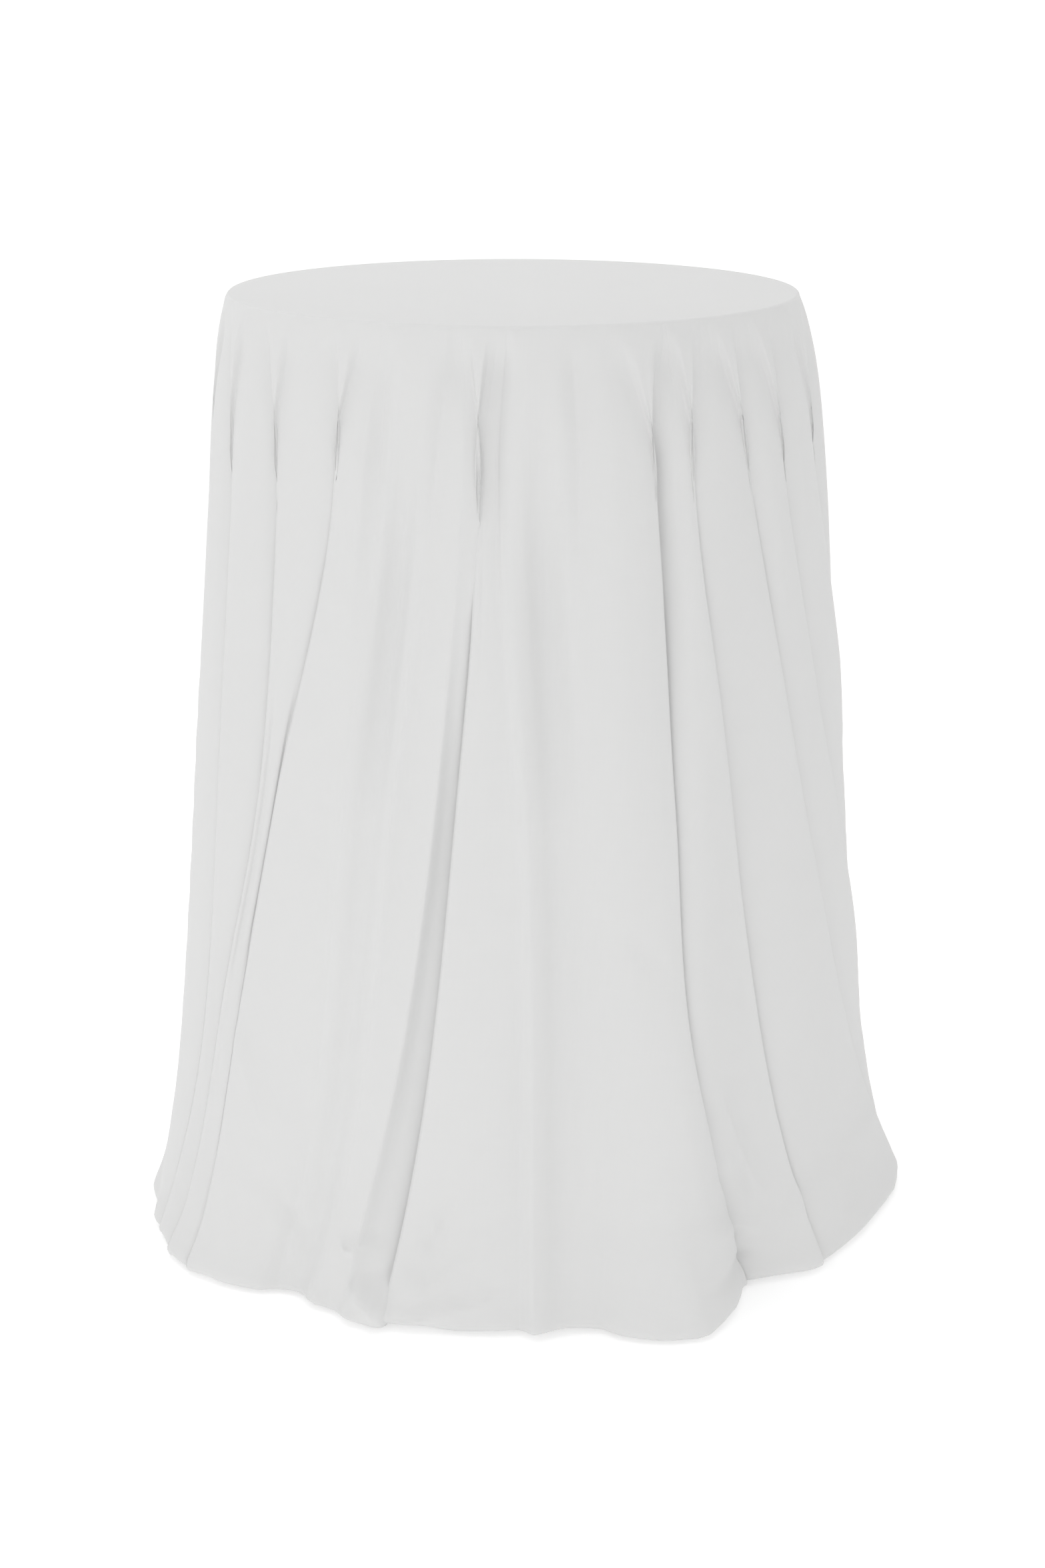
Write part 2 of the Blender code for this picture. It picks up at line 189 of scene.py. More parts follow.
def grid_quads(rows: int, columns: int) -> np.ndarray:
    """Quads between rows of vertices that close round.

    They face out when the rows run down and the columns run anticlockwise.

    Args:
        rows: How many rows there are.
        columns: How many vertices a row has.

    Returns:
        Four vertex numbers for each quad.
    """
    row, column = np.mgrid[0 : rows - 1, 0:columns]
    beside = (column + 1) % columns
    corners = [row * columns + column, (row + 1) * columns + column]
    corners += [(row + 1) * columns + beside, row * columns + beside]
    return np.stack(corners, axis=-1).reshape(-1, 4)


def add_piece(name: str, points: np.ndarray, faces: list, smooth: bool = True) -> bpy.types.Object:
    """A mesh object at the origin, with its place in its vertices.

    Args:
        name: The piece's name.
        points: Vertices, n by 3.
        faces: Lists of vertex numbers.
        smooth: Whether it is shaded smooth.

    Returns:
        The new object.
    """
    mesh = bpy.data.meshes.new(name)
    mesh.from_pydata(points.tolist(), [], faces)
    mesh.validate()
    if smooth:
        mesh.shade_smooth()
    made = bpy.data.objects.new(name, mesh)
    bpy.context.scene.collection.objects.link(made)
    return made


# ---------------------------------------------------------------- node trees
class Nodes:
    """Adds nodes to one tree and links them as it goes."""

    def __init__(self, tree: bpy.types.NodeTree) -> None:
        """Keeps the tree.

        Args:
            tree: A material's, a world's or a group's tree.
        """
        self.tree = tree

    def add(self, kind: str, inputs: dict | None = None, **settings: object) -> bpy.types.Node:
        """Adds a node.

        Args:
            kind: Blender's name for the node's type.
            inputs: A value or a socket for each of its inputs, by name or number.
            **settings: The node's own properties.

        Returns:
            The new node.
        """
        made = self.tree.nodes.new(kind)
        for name, value in settings.items():
            setattr(made, name, value)
        for name, value in (inputs or {}).items():
            if isinstance(value, bpy.types.NodeSocket):
                self.tree.links.new(value, made.inputs[name])
            else:
                made.inputs[name].default_value = value
        return made

    def math(self, operation: str, *values: object) -> bpy.types.NodeSocket:
        """The result of a math node on values or sockets."""
        return self.add("ShaderNodeMath", dict(enumerate(values)), operation=operation).outputs[0]

    def noise(self, vector: bpy.types.NodeSocket, scale: object, detail: float = 3.0) -> bpy.types.NodeSocket:
        """Noise from 0 to 1 at a scale in cycles a metre."""
        return self.add("ShaderNodeTexNoise", {"Vector": vector, "Scale": scale, "Detail": detail}).outputs[0]

    def blend(self, share: object, first: object, second: object) -> bpy.types.NodeSocket:
        """A colour between two colours."""
        made = self.add("ShaderNodeMix", {0: share, 6: first, 7: second}, data_type="RGBA")
        return made.outputs[2]

    def group(self, tree: bpy.types.NodeTree, inputs: dict) -> bpy.types.Node:
        """Places a node group."""
        return self.add("ShaderNodeGroup", inputs, node_tree=tree)


def new_group(
    name: str, inputs: dict[str, float | None], outputs: tuple[str, ...]
) -> tuple[Nodes, dict, dict]:
    """Starts a node group.

    Args:
        name: The group's name.
        inputs: Its inputs: a number's default value, or None for a vector.
        outputs: Its outputs, which are all numbers.

    Returns:
        Its nodes, its input sockets and its output sockets.
    """
    tree = bpy.data.node_groups.new(name, "ShaderNodeTree")
    for key, value in inputs.items():
        kind = "NodeSocketVector" if value is None else "NodeSocketFloat"
        socket = tree.interface.new_socket(key, in_out="INPUT", socket_type=kind)
        if value is not None:
            socket.default_value = value
    for key in outputs:
        tree.interface.new_socket(key, in_out="OUTPUT", socket_type="NodeSocketFloat")
    nodes = Nodes(tree)
    start = nodes.add("NodeGroupInput")
    end = nodes.add("NodeGroupOutput")
    return nodes, start.outputs, end.inputs


def weave_group() -> bpy.types.NodeTree:
    """Plain weave: over and under is the product of two sines, and slubs are noise drawn out along threads.

    Returns:
        The group, which puts out a height and a tone.
    """
    nodes, given, out = new_group("plain_weave", {"Vector": None, "Pitch": 0.0008}, ("Height", "Tone"))
    threads = nodes.math("DIVIDE", 2 * math.pi, given["Pitch"])
    place = nodes.add("ShaderNodeVectorMath", {0: given["Vector"], "Scale": threads}, operation="SCALE")
    axes = nodes.add("ShaderNodeSeparateXYZ", {0: place.outputs[0]})
    over, under = (nodes.math("SINE", axes.outputs[k]) for k in (0, 1))
    crossing = nodes.math("MULTIPLY", over, under)
    slubs = []
    for stretch in ((12.0, 420.0, 1.0), (420.0, 12.0, 1.0)):
        drawn = nodes.add("ShaderNodeVectorMath", {0: given["Vector"], 1: stretch}, operation="MULTIPLY")
        slubs.append(nodes.noise(drawn.outputs[0], 1.0, 2.0))
    slub = nodes.math("MULTIPLY", nodes.math("ADD", *slubs), 0.5)
    height = nodes.math("MULTIPLY_ADD", crossing, 0.25, slub)
    nodes.tree.links.new(height, out["Height"])
    nodes.tree.links.new(slub, out["Tone"])
    return nodes.tree


def mottle_group() -> bpy.types.NodeTree:
    """Slow unevenness: broad noise and finer noise added together, 0 to 1.

    Returns:
        The group, which puts out a tone.
    """
    nodes, given, out = new_group("mottle", {"Vector": None, "Scale": 8.0, "Contrast": 1.0}, ("Tone",))
    broad = nodes.noise(given["Vector"], given["Scale"], 2.0)
    fine = nodes.noise(given["Vector"], nodes.math("MULTIPLY", given["Scale"], 7.0), 4.0)
    both = nodes.math("MULTIPLY_ADD", fine, 0.4, nodes.math("MULTIPLY", broad, 0.6))
    centred = nodes.math("MULTIPLY", nodes.math("SUBTRACT", both, 0.5), given["Contrast"])
    made = nodes.add("ShaderNodeMath", {0: centred, 1: 0.5}, operation="ADD", use_clamp=True)
    nodes.tree.links.new(made.outputs[0], out["Tone"])
    return nodes.tree


def peel_group() -> bpy.types.NodeTree:
    """The low bumps of a sprayed, cast or moulded skin: rounded cells, broken up by noise.

    Returns:
        The group, which puts out a height.
    """
    nodes, given, out = new_group("skin_peel", {"Vector": None, "Pitch": 0.002}, ("Height",))
    scale = nodes.math("DIVIDE", 1.0, given["Pitch"])
    where = {"Vector": given["Vector"], "Scale": scale}
    cells = nodes.add("ShaderNodeTexVoronoi", where, feature="SMOOTH_F1")
    grit = nodes.noise(given["Vector"], nodes.math("MULTIPLY", scale, 2.0), 3.0)
    height = nodes.math("MULTIPLY_ADD", grit, 0.5, cells.outputs["Distance"])
    nodes.tree.links.new(height, out["Height"])
    return nodes.tree


def wear_group() -> bpy.types.NodeTree:
    """Where a surface is scuffed: thin scratches of stretched noise, inside patches of broad noise.

    Returns:
        The group, which puts out a mask.
    """
    nodes, given, out = new_group("scuffs", {"Vector": None, "Scale": 6.0, "Amount": 0.3}, ("Mask",))
    patch = nodes.noise(given["Vector"], given["Scale"], 3.0)
    stretch = (30.0, 900.0, 260.0)
    drawn = nodes.add("ShaderNodeVectorMath", {0: given["Vector"], 1: stretch}, operation="MULTIPLY")
    scratch = nodes.noise(drawn.outputs[0], 1.0, 2.0)
    limit = nodes.math("SUBTRACT", 0.80, nodes.math("MULTIPLY", given["Amount"], 0.25))
    thin = nodes.math("GREATER_THAN", scratch, limit)
    where = nodes.add("ShaderNodeMapRange", {0: patch, 1: 0.50, 2: 0.70})
    nodes.tree.links.new(nodes.math("MULTIPLY", thin, where.outputs[0]), out["Mask"])
    return nodes.tree


@dataclass
class Effects:
    """The node groups that the finishes share, each built once."""

    weave: bpy.types.NodeTree = field(default_factory=weave_group)
    mottle: bpy.types.NodeTree = field(default_factory=mottle_group)
    peel: bpy.types.NodeTree = field(default_factory=peel_group)
    wear: bpy.types.NodeTree = field(default_factory=wear_group)


# ---------------------------------------------------------------- finishes
def start_material(name: str) -> tuple[bpy.types.Material, Nodes, bpy.types.Node]:
    """Starts a material.

    Args:
        name: Its name.

    Returns:
        The material, its nodes and its Principled shader.
    """
    made = bpy.data.materials.new(name)
    made.use_nodes = True
    return made, Nodes(made.node_tree), made.node_tree.nodes["Principled BSDF"]


def bump(nodes: Nodes, shader: bpy.types.Node, height: bpy.types.NodeSocket, depth: float) -> None:
    """Feeds a height, a metre's share deep, to a shader's normal."""
    made = nodes.add("ShaderNodeBump", {"Height": height, "Strength": 1.0, "Distance": depth})
    nodes.tree.links.new(made.outputs[0], shader.inputs["Normal"])


@dataclass(frozen=True)
class WovenFinish:
    """Plain-woven white cloth, with a row of lockstitch where it is a hem."""

    name: str
    bright: Colour = (0.712, 0.712, 0.708)
    shade: Colour = (0.678, 0.679, 0.676)
    thread_pitch: float = 0.0008
    thread_height: float = 0.00006
    roughness: float = 0.88
    stitch_rows: tuple[float, ...] = ()
    stitch_length: float = 0.003

    def build(self, effects: Effects) -> bpy.types.Material:
        """Builds the material.

        Args:
            effects: The shared node groups.

        Returns:
            The material.
        """
        made, nodes, shader = start_material(self.name)
        flat = nodes.add("ShaderNodeUVMap", uv_map="flat_cloth").outputs[0]
        weave = nodes.group(effects.weave, {"Vector": flat, "Pitch": self.thread_pitch})
        mottle = nodes.group(effects.mottle, {"Vector": flat, "Scale": 5.0, "Contrast": 1.2})
        half_mottle = nodes.math("MULTIPLY", mottle.outputs[0], 0.5)
        tone = nodes.math("MULTIPLY_ADD", weave.outputs["Tone"], 0.5, half_mottle)
        colour = nodes.blend(tone, (*self.shade, 1.0), (*self.bright, 1.0))
        height = weave.outputs["Height"]
        if self.stitch_rows:
            seam = nodes.add("ShaderNodeUVMap", uv_map="seam").outputs[0]
            across = nodes.add("ShaderNodeSeparateXYZ", {0: seam})
            along = nodes.math("MULTIPLY", across.outputs[0], 2 * math.pi / self.stitch_length)
            gap = nodes.math("MULTIPLY_ADD", nodes.math("SINE", along), 0.5, 0.5)
            lines = [nodes.math("COMPARE", across.outputs[1], row, 0.0006) for row in self.stitch_rows]
            line = lines[0]
            for other in lines[1:]:
                line = nodes.math("ADD", line, other)
            stitch = nodes.math("MULTIPLY", line, gap)
            height = nodes.math("SUBTRACT", height, nodes.math("MULTIPLY", stitch, 5.0))
            colour = nodes.blend(nodes.math("MULTIPLY", stitch, 0.35), colour, (0.60, 0.60, 0.60, 1.0))
        nodes.tree.links.new(colour, shader.inputs["Base Color"])
        rough = nodes.math("MULTIPLY_ADD", mottle.outputs[0], 0.08, self.roughness - 0.04)
        nodes.tree.links.new(rough, shader.inputs["Roughness"])
        shader.inputs["Specular IOR Level"].default_value = 0.25
        shader.inputs["Sheen Weight"].default_value = 0.12
        shader.inputs["Sheen Roughness"].default_value = 0.5
        bump(nodes, shader, height, self.thread_height)
        return made


@dataclass(frozen=True)
class BoardFinish:
    """Layers of board seen on edge and face: grain drawn out along X, and a dark line at each glue joint."""

    name: str
    light: Colour
    dark: Colour
    roughness: float
    layer: float = 0.0
    grain_stretch: tuple[float, float, float] = (4.0, 70.0, 70.0)
    relief: float = 0.0001

    def build(self, effects: Effects) -> bpy.types.Material:
        """Builds the material.

        Args:
            effects: The shared node groups.

        Returns:
            The material.
        """
        made, nodes, shader = start_material(self.name)
        place = nodes.add("ShaderNodeTexCoord").outputs["Object"]
        drawn = nodes.add("ShaderNodeVectorMath", {0: place, 1: self.grain_stretch}, operation="MULTIPLY")
        grain = nodes.noise(drawn.outputs[0], 1.0, 6.0)
        mottle = nodes.group(effects.mottle, {"Vector": place, "Scale": 9.0, "Contrast": 1.5})
        tone = nodes.math("MULTIPLY_ADD", grain, 0.6, nodes.math("MULTIPLY", mottle.outputs[0], 0.4))
        colour = nodes.blend(tone, (*self.dark, 1.0), (*self.light, 1.0))
        if self.layer:
            height = nodes.add("ShaderNodeSeparateXYZ", {0: place}).outputs[2]
            ply = nodes.math("FRACT", nodes.math("DIVIDE", height, self.layer))
            pair = nodes.math("FRACT", nodes.math("DIVIDE", height, 2 * self.layer))
            turned = nodes.math("GREATER_THAN", pair, 0.5)
            colour = nodes.blend(nodes.math("MULTIPLY", turned, 0.45), colour, (*self.dark, 1.0))
            glue = nodes.math("LESS_THAN", ply, 0.12)
            colour = nodes.blend(nodes.math("MULTIPLY", glue, 0.6), colour, (0.10, 0.05, 0.025, 1.0))
        scuff = nodes.group(effects.wear, {"Vector": place, "Scale": 5.0, "Amount": 0.4})
        nodes.tree.links.new(colour, shader.inputs["Base Color"])
        rough = nodes.math("MULTIPLY_ADD", scuff.outputs[0], 0.2, self.roughness)
        nodes.tree.links.new(rough, shader.inputs["Roughness"])
        bump(nodes, shader, grain, self.relief)
        return made


@dataclass(frozen=True)
class SkinFinish:
    """A painted, cast, plated or moulded skin, with its peel, its unevenness and its scuffs."""

    name: str
    colour: Colour
    second: Colour
    scuffed: Colour
    roughness: float
    metallic: float = 0.0
    peel_pitch: float = 0.002
    peel_height: float = 0.0001
    wear: float = 0.3
    coat: float = 0.0

    def build(self, effects: Effects) -> bpy.types.Material:
        """Builds the material.

        Args:
            effects: The shared node groups.

        Returns:
            The material.
        """
        made, nodes, shader = start_material(self.name)
        place = nodes.add("ShaderNodeTexCoord").outputs["Object"]
        mottle = nodes.group(effects.mottle, {"Vector": place, "Scale": 14.0, "Contrast": 2.0})
        scuff = nodes.group(effects.wear, {"Vector": place, "Scale": 8.0, "Amount": self.wear})
        peel = nodes.group(effects.peel, {"Vector": place, "Pitch": self.peel_pitch})
        colour = nodes.blend(mottle.outputs[0], (*self.colour, 1.0), (*self.second, 1.0))
        colour = nodes.blend(scuff.outputs[0], colour, (*self.scuffed, 1.0))
        rough = nodes.math("MULTIPLY_ADD", mottle.outputs[0], 0.16, self.roughness - 0.08)
        rough = nodes.math("MULTIPLY_ADD", scuff.outputs[0], 0.15, rough)
        nodes.tree.links.new(colour, shader.inputs["Base Color"])
        nodes.tree.links.new(rough, shader.inputs["Roughness"])
        shader.inputs["Metallic"].default_value = self.metallic
        shader.inputs["Coat Weight"].default_value = self.coat
        bump(nodes, shader, peel.outputs[0], self.peel_height)
        return made


def dress(nodes: dict[str, bpy.types.Object], names: list[str], paint: bpy.types.Material) -> None:
    """Gives CAD nodes their finish, and logs each.

    Args:
        nodes: The frame's nodes by name.
        names: Which of them.
        paint: Their material.
    """
    for name in names:
        nodes[name].data.materials.clear()
        nodes[name].data.materials.append(paint)
        log.info("%s: %s", name, paint.name)


@dataclass
class TableTop:
    """The round top: laminate over a plywood core, in a vinyl edge band."""

    laminate: BoardFinish = BoardFinish("maple_laminate", (0.66, 0.52, 0.36), (0.50, 0.36, 0.22), 0.34,
                                        grain_stretch=(3.0, 46.0, 46.0), relief=0.00002)
    core: BoardFinish = BoardFinish("birch_plywood", (0.62, 0.45, 0.27), (0.42, 0.27, 0.14), 0.62,
                                    layer=0.0018)
    band: SkinFinish = SkinFinish("black_vinyl_band", (0.020, 0.020, 0.021), (0.034, 0.034, 0.035),
                                  (0.12, 0.12, 0.12), 0.42, peel_pitch=0.0012, peel_height=0.00004)

    def finish(self, nodes: dict[str, bpy.types.Object], effects: Effects) -> None:
        """Dresses the top's three nodes.

        Args:
            nodes: The frame's nodes by name.
            effects: The shared node groups.
        """
        dress(nodes, ["top_laminate"], self.laminate.build(effects))
        dress(nodes, ["top_core"], self.core.build(effects))
        dress(nodes, ["top_edge_band"], self.band.build(effects))


@dataclass
class Pedestal:
    """What stands between the top and the floor: coated steel, cast iron and zinc-plated fasteners."""

    coated: tuple[str, ...] = ("mounting_plate", "column_tube")
    cast: tuple[str, ...] = ("upper_socket", "base_socket", "cross_base")
    plated: tuple[str, ...] = ("tie_rod", "tie_rod_washer", "tie_rod_nut")
    screws: int = 4
    coat: SkinFinish = SkinFinish("black_powder_coat", (0.018, 0.018, 0.019), (0.030, 0.030, 0.031),
                                  (0.20, 0.20, 0.20), 0.46, peel_pitch=0.0016, peel_height=0.00008, coat=0.15)
    iron: SkinFinish = SkinFinish("black_cast_iron", (0.022, 0.022, 0.023), (0.040, 0.039, 0.038),
                                  (0.24, 0.23, 0.22), 0.60, 0.25, peel_pitch=0.0030, peel_height=0.00035)
    zinc: SkinFinish = SkinFinish("zinc_plate", (0.60, 0.60, 0.57), (0.50, 0.50, 0.48),
                                  (0.72, 0.72, 0.70), 0.34, 1.0, peel_pitch=0.0006, peel_height=0.00001,
                                  wear=0.5)

    def finish(self, nodes: dict[str, bpy.types.Object], effects: Effects) -> None:
        """Dresses the pedestal's nodes.

        Args:
            nodes: The frame's nodes by name.
            effects: The shared node groups.
        """
        zinc = self.zinc.build(effects)
        dress(nodes, list(self.coated), self.coat.build(effects))
        dress(nodes, list(self.cast), self.iron.build(effects))
        dress(nodes, list(self.plated), zinc)
        dress(nodes, [f"mounting_screw_{k + 1}" for k in range(self.screws)], zinc)


@dataclass
class Glides:
    """The four levelling glides: a pressed bush, a zinc stem and a nylon foot each."""

    count: int = 4
    steel: SkinFinish = SkinFinish("glide_steel", (0.55, 0.55, 0.53), (0.44, 0.44, 0.42),
                                   (0.70, 0.70, 0.68), 0.32, 1.0, peel_pitch=0.0005, peel_height=0.00001,
                                   wear=0.6)
    nylon: SkinFinish = SkinFinish("black_nylon", (0.030, 0.030, 0.031), (0.046, 0.046, 0.047),
                                   (0.14, 0.14, 0.14), 0.50, peel_pitch=0.0008, peel_height=0.00003, wear=0.5)

    def finish(self, nodes: dict[str, bpy.types.Object], effects: Effects) -> None:
        """Dresses the glides' nodes.

        Args:
            nodes: The frame's nodes by name.
            effects: The shared node groups.
        """
        numbers = range(1, self.count + 1)
        metal = [f"glide_{part}_{k}" for k in numbers for part in ("bush", "stem")]
        dress(nodes, metal, self.steel.build(effects))
        dress(nodes, [f"glide_foot_{k}" for k in numbers], self.nylon.build(effects))


# ---------------------------------------------------------------- the drape
class Side(Enum):
    """Which panel lies over a fold's mouth."""

    NONE = 0
    LEFT = -1
    RIGHT = 1


@dataclass(frozen=True)
class Fold:
    """One fold of the drape, followed from the table's rim down to the floor.

    Attributes:
        name: What it is called in the log.
        path: Its azimuth in degrees at the drape's five stations, from the rim to the floor.
        mouth: The gap between its lips at the rim, halfway down and on the floor.
        share: Its part of the spare cloth at the same three places.
        cover: The panel that lies over its mouth.
        lean: How many degrees its walls turn under the covering panel.
        lift: How far the covering lip stands proud.
        dip: How far the cloth beside the mouth sinks in, on the covered side or on both.
        shelf: How far the covered panel steps back beside the mouth.
    """

    name: str
    path: tuple[float, float, float, float, float]
    mouth: tuple[float, float, float]
    share: tuple[float, float, float] = (1.0, 1.0, 1.0)
    cover: Side = Side.NONE
    lean: float = 0.0
    lift: float = 0.0
    dip: float = 0.004
    shelf: float = 0.0


@dataclass(frozen=True)
class Crease:
    """A fine ridge or pull in the cloth, along a line on the drape.

    Attributes:
        start: Azimuth in degrees and height in metres of one end.
        end: The same of the other end.
        width: Half its width in metres.
        rise: How far it stands out, or sinks in where negative.
    """

    start: tuple[float, float]
    end: tuple[float, float]
    width: float
    rise: float


@dataclass(frozen=True)
class Section:
    """The folds at each level of the drape, as arrays of levels by folds unless said otherwise.

    Attributes:
        rise: The share of the fall that has passed, levels by 1.
        path: The folds' azimuths in degrees.
        radius: The envelope's radius at each fold.
        mouth: The gap between a fold's lips.
        depth: How far it runs in.
        lean: How far its walls turn to the side, in radians.
        cover: Which panel covers it, as Side's numbers, one for each fold.
        proud: How far the covering lip stands out.
        dip: How far the cloth beside the mouth sinks in.
        shelf: How far the covered panel steps back.
        sag: How far both lips sink in just below the rim.
    """

    rise: np.ndarray
    path: np.ndarray
    radius: np.ndarray
    mouth: np.ndarray
    depth: np.ndarray
    lean: np.ndarray
    cover: np.ndarray
    proud: np.ndarray
    dip: np.ndarray
    shelf: np.ndarray
    sag: np.ndarray


@dataclass
class Drape:
    """The shape that a round cloth takes on a round table and the floor round it.

    A point of the cloth is named by its distance along the cloth from the centre, and by a column that
    runs from the rim down through every level. At each level the section is a closed spline: panels on
    the outer envelope, and folds that run in from it and take up the spare cloth.
    """

    top_height: float
    rim_radius: float
    flat_radius: float = 1.524
    edge_round: float = 0.0035
    slope: float = 0.9935
    roll: float = 0.020
    wave: float = 0.004
    crumple: float = 0.006
    rim_sag: float = 0.008
    sag_spread: float = 0.02
    dip_spread: float = 0.028
    end_half: float = 0.011
    end_turn: float = 0.010
    deepening: float = 0.28
    pull_soft: float = 0.012
    floor_lift: float = 0.0008
    core_radius: float = 0.205
    arm_radius: float = 0.300
    arm_azimuths: tuple[float, ...] = (-135.0, -45.0, 45.0, 135.0)
    stations: tuple[float, ...] = (0.0, 0.2, 0.45, 0.72, 1.0)
    samples: tuple[int, ...] = (2, 1, 1, 1, 1, 1, 1, 2, 1, 1, 2, 1, 1, 2)
    reach: tuple[tuple[float, float], ...] = (
        (-172, 0.415), (-160, 0.400), (-146, 0.425), (-132, 0.405), (-118, 0.425), (-104, 0.410),
        (-92, 0.430), (-80, 0.440), (-66, 0.453), (-55, 0.440), (-45, 0.406), (-36, 0.392),
        (-27, 0.394), (-18, 0.380), (-8, 0.373), (5, 0.379), (17, 0.402), (25, 0.431), (30, 0.450),
        (35, 0.428), (41, 0.400), (48, 0.398), (56, 0.424), (72, 0.447), (88, 0.478), (97, 0.462),
        (108, 0.436), (122, 0.415), (137, 0.430), (152, 0.400), (168, 0.405),
    )
    folds: tuple[Fold, ...] = (
        Fold("far_left", (-80, -80, -81, -82, -83), (0.050, -0.005, -0.003), (1.0, 0.9, 0.9),
             Side.RIGHT, lean=20, lift=0.003),
        Fold("left_narrow", (-65, -62, -60.5, -62.5, -69), (0.045, -0.004, -0.002), (0.8, 0.6, 0.5),
             Side.RIGHT, lean=22, lift=0.002, dip=0.006),
        Fold("left_short", (-49, -48, -49.5, -57.5, -63), (0.045, -0.005, -0.002), (0.9, 0.6, 0.4),
             Side.RIGHT, lean=25, lift=0.002, dip=0.005),
        Fold("left_ridge", (-31, -35, -45, -53, -57), (0.036, -0.008, -0.004), (1.0, 1.2, 1.3),
             Side.RIGHT, lean=38, lift=0.0025, dip=0.003),
        Fold("left_soft", (-17, -21, -26, -31, -39), (0.060, 0.060, 0.060), (0.35, 0.03, 0.01)),
        Fold("left_valley", (-6, -6.6, -10, -14.8, -22.5), (0.026, -0.008, -0.006), (0.4, 1.1, 1.3),
             Side.RIGHT, lean=34, lift=0.001, dip=0.0, shelf=0.010),
        Fold("front_soft", (5, 5.5, 8, 9, 9), (0.055, 0.070, 0.080), (0.35, 0.03, 0.01)),
        Fold("right_valley", (23, 26.5, 28.5, 30.5, 44), (0.050, -0.006, -0.008), (0.8, 1.1, 1.3),
             Side.LEFT, lean=30, lift=-0.010, dip=0.016),
        Fold("right_sharp", (32, 34, 40.5, 48.5, 57), (0.036, -0.008, -0.005), (0.9, 1.1, 1.1),
             Side.LEFT, lean=36, lift=0.0025, dip=0.004),
        Fold("right_mid", (42, 50, 59, 74, 90), (0.036, -0.007, -0.003), (0.9, 1.0, 1.1),
             Side.LEFT, lean=32, lift=0.0025, dip=0.004),
        Fold("right_far", (53, 61, 74, 90, 105), (0.036, -0.004, 0.002), (0.9, 1.0, 1.0),
             Side.LEFT, lean=28, lift=0.0025, dip=0.004),
        Fold("right_rim", (71, 78, 92, 106, 120), (0.060, -0.005, -0.004), (1.1, 0.9, 0.9),
             Side.LEFT, lean=24, lift=0.003, dip=0.005),
        Fold("back_1", (96, 102, 114, 124, 135), (0.050, -0.006, -0.004), (1.0, 1.0, 1.0),
             Side.LEFT, lean=26, lift=0.003, dip=0.004),
        Fold("back_2", (122, 127, 135, 143, 152), (0.050, -0.005, -0.003), (0.9, 1.0, 0.9),
             Side.LEFT, lean=24, lift=0.003, dip=0.005),
        Fold("back_3", (148, 151, 157, 164, 171), (0.050, -0.005, -0.004), (1.0, 1.1, 1.0),
             Side.LEFT, lean=22, lift=0.003, dip=0.006),
        Fold("back_4", (175, 177, 180, 185, 190), (0.050, -0.005, -0.003), (0.9, 0.9, 1.0),
             Side.RIGHT, lean=22, lift=0.003, dip=0.005),
        Fold("back_5", (202, 203, 205, 208, 211), (0.050, -0.006, -0.004), (1.1, 1.1, 1.1),
             Side.RIGHT, lean=26, lift=0.003, dip=0.005),
        Fold("back_6", (228, 229, 230, 232, 233), (0.050, -0.005, -0.003), (1.0, 1.0, 1.0),
             Side.RIGHT, lean=24, lift=0.003, dip=0.005),
        Fold("back_7", (254, 254, 254, 254, 254), (0.050, -0.005, -0.004), (1.0, 1.0, 1.0),
             Side.RIGHT, lean=24, lift=0.003, dip=0.005),
    )
    creases: tuple[Crease, ...] = (
        Crease((-20.0, 0.03), (-8.0, 0.19), 0.007, 0.0050),
        Crease((-20.0, 0.02), (-3.0, 0.13), 0.007, 0.0045),
        Crease((-20.0, 0.01), (2.0, 0.06), 0.008, 0.0050),
        Crease((-27.0, 0.050), (-20.0, 0.010), 0.014, 0.0140),
        Crease((-30.0, 0.085), (-23.0, 0.095), 0.006, 0.0070),
        Crease((-52.0, 0.30), (-45.0, 0.16), 0.010, 0.0045),
        Crease((-46.0, 0.14), (-36.0, 0.05), 0.012, -0.0040),
        Crease((47.0, 0.10), (33.0, 0.30), 0.009, 0.0055),
        Crease((46.0, 0.07), (26.0, 0.13), 0.008, 0.0045),
        Crease((45.0, 0.04), (29.0, 0.05), 0.009, -0.0060),
        Crease((52.0, 0.05), (60.0, 0.22), 0.010, 0.0035),
        Crease((20.0, 0.46), (27.0, 0.38), 0.012, -0.0022),
        Crease((82.0, 0.08), (70.0, 0.26), 0.012, 0.0030),
        Crease((150.0, 0.08), (138.0, 0.24), 0.011, 0.0030),
        Crease((-160.0, 0.06), (-148.0, 0.20), 0.011, 0.0030),
        Crease((-118.0, 0.07), (-108.0, 0.24), 0.010, 0.0030),
    )

    @property
    def drop(self) -> float:
        """The length of cloth from the rim to the edge."""
        return self.flat_radius - self.rim_radius

    @property
    def fall(self) -> float:
        """The length of cloth from the rim to the floor, if it ran straight on down."""
        return self.top_height / self.slope

    def envelope(self, azimuth: np.ndarray, share: np.ndarray) -> np.ndarray:
        """The outer radius: the rim's, and a share of the way out to the floor's outline.

        The share rises fast just under the rim, then nearly evenly, and billows out over the floor.

        Args:
            azimuth: Degrees from the front.
            share: How much of the fall has passed, from 0 to 1.

        Returns:
            The radius in metres.
        """
        out = 0.15 * (1 - np.exp(-share / 0.06)) + 0.60 * share**1.15 + 0.25 * share**10
        places = np.stack(np.broadcast_arrays(azimuth % 360 / 9.0, share * 2.5 + 40), axis=-1)
        waves = value_noise(places, 1.0, 5)
        waves = waves * self.wave * ease(share, 0.0, 0.15)
        return self.rim_radius + (round_trip(azimuth, self.reach) - self.rim_radius) * out + waves

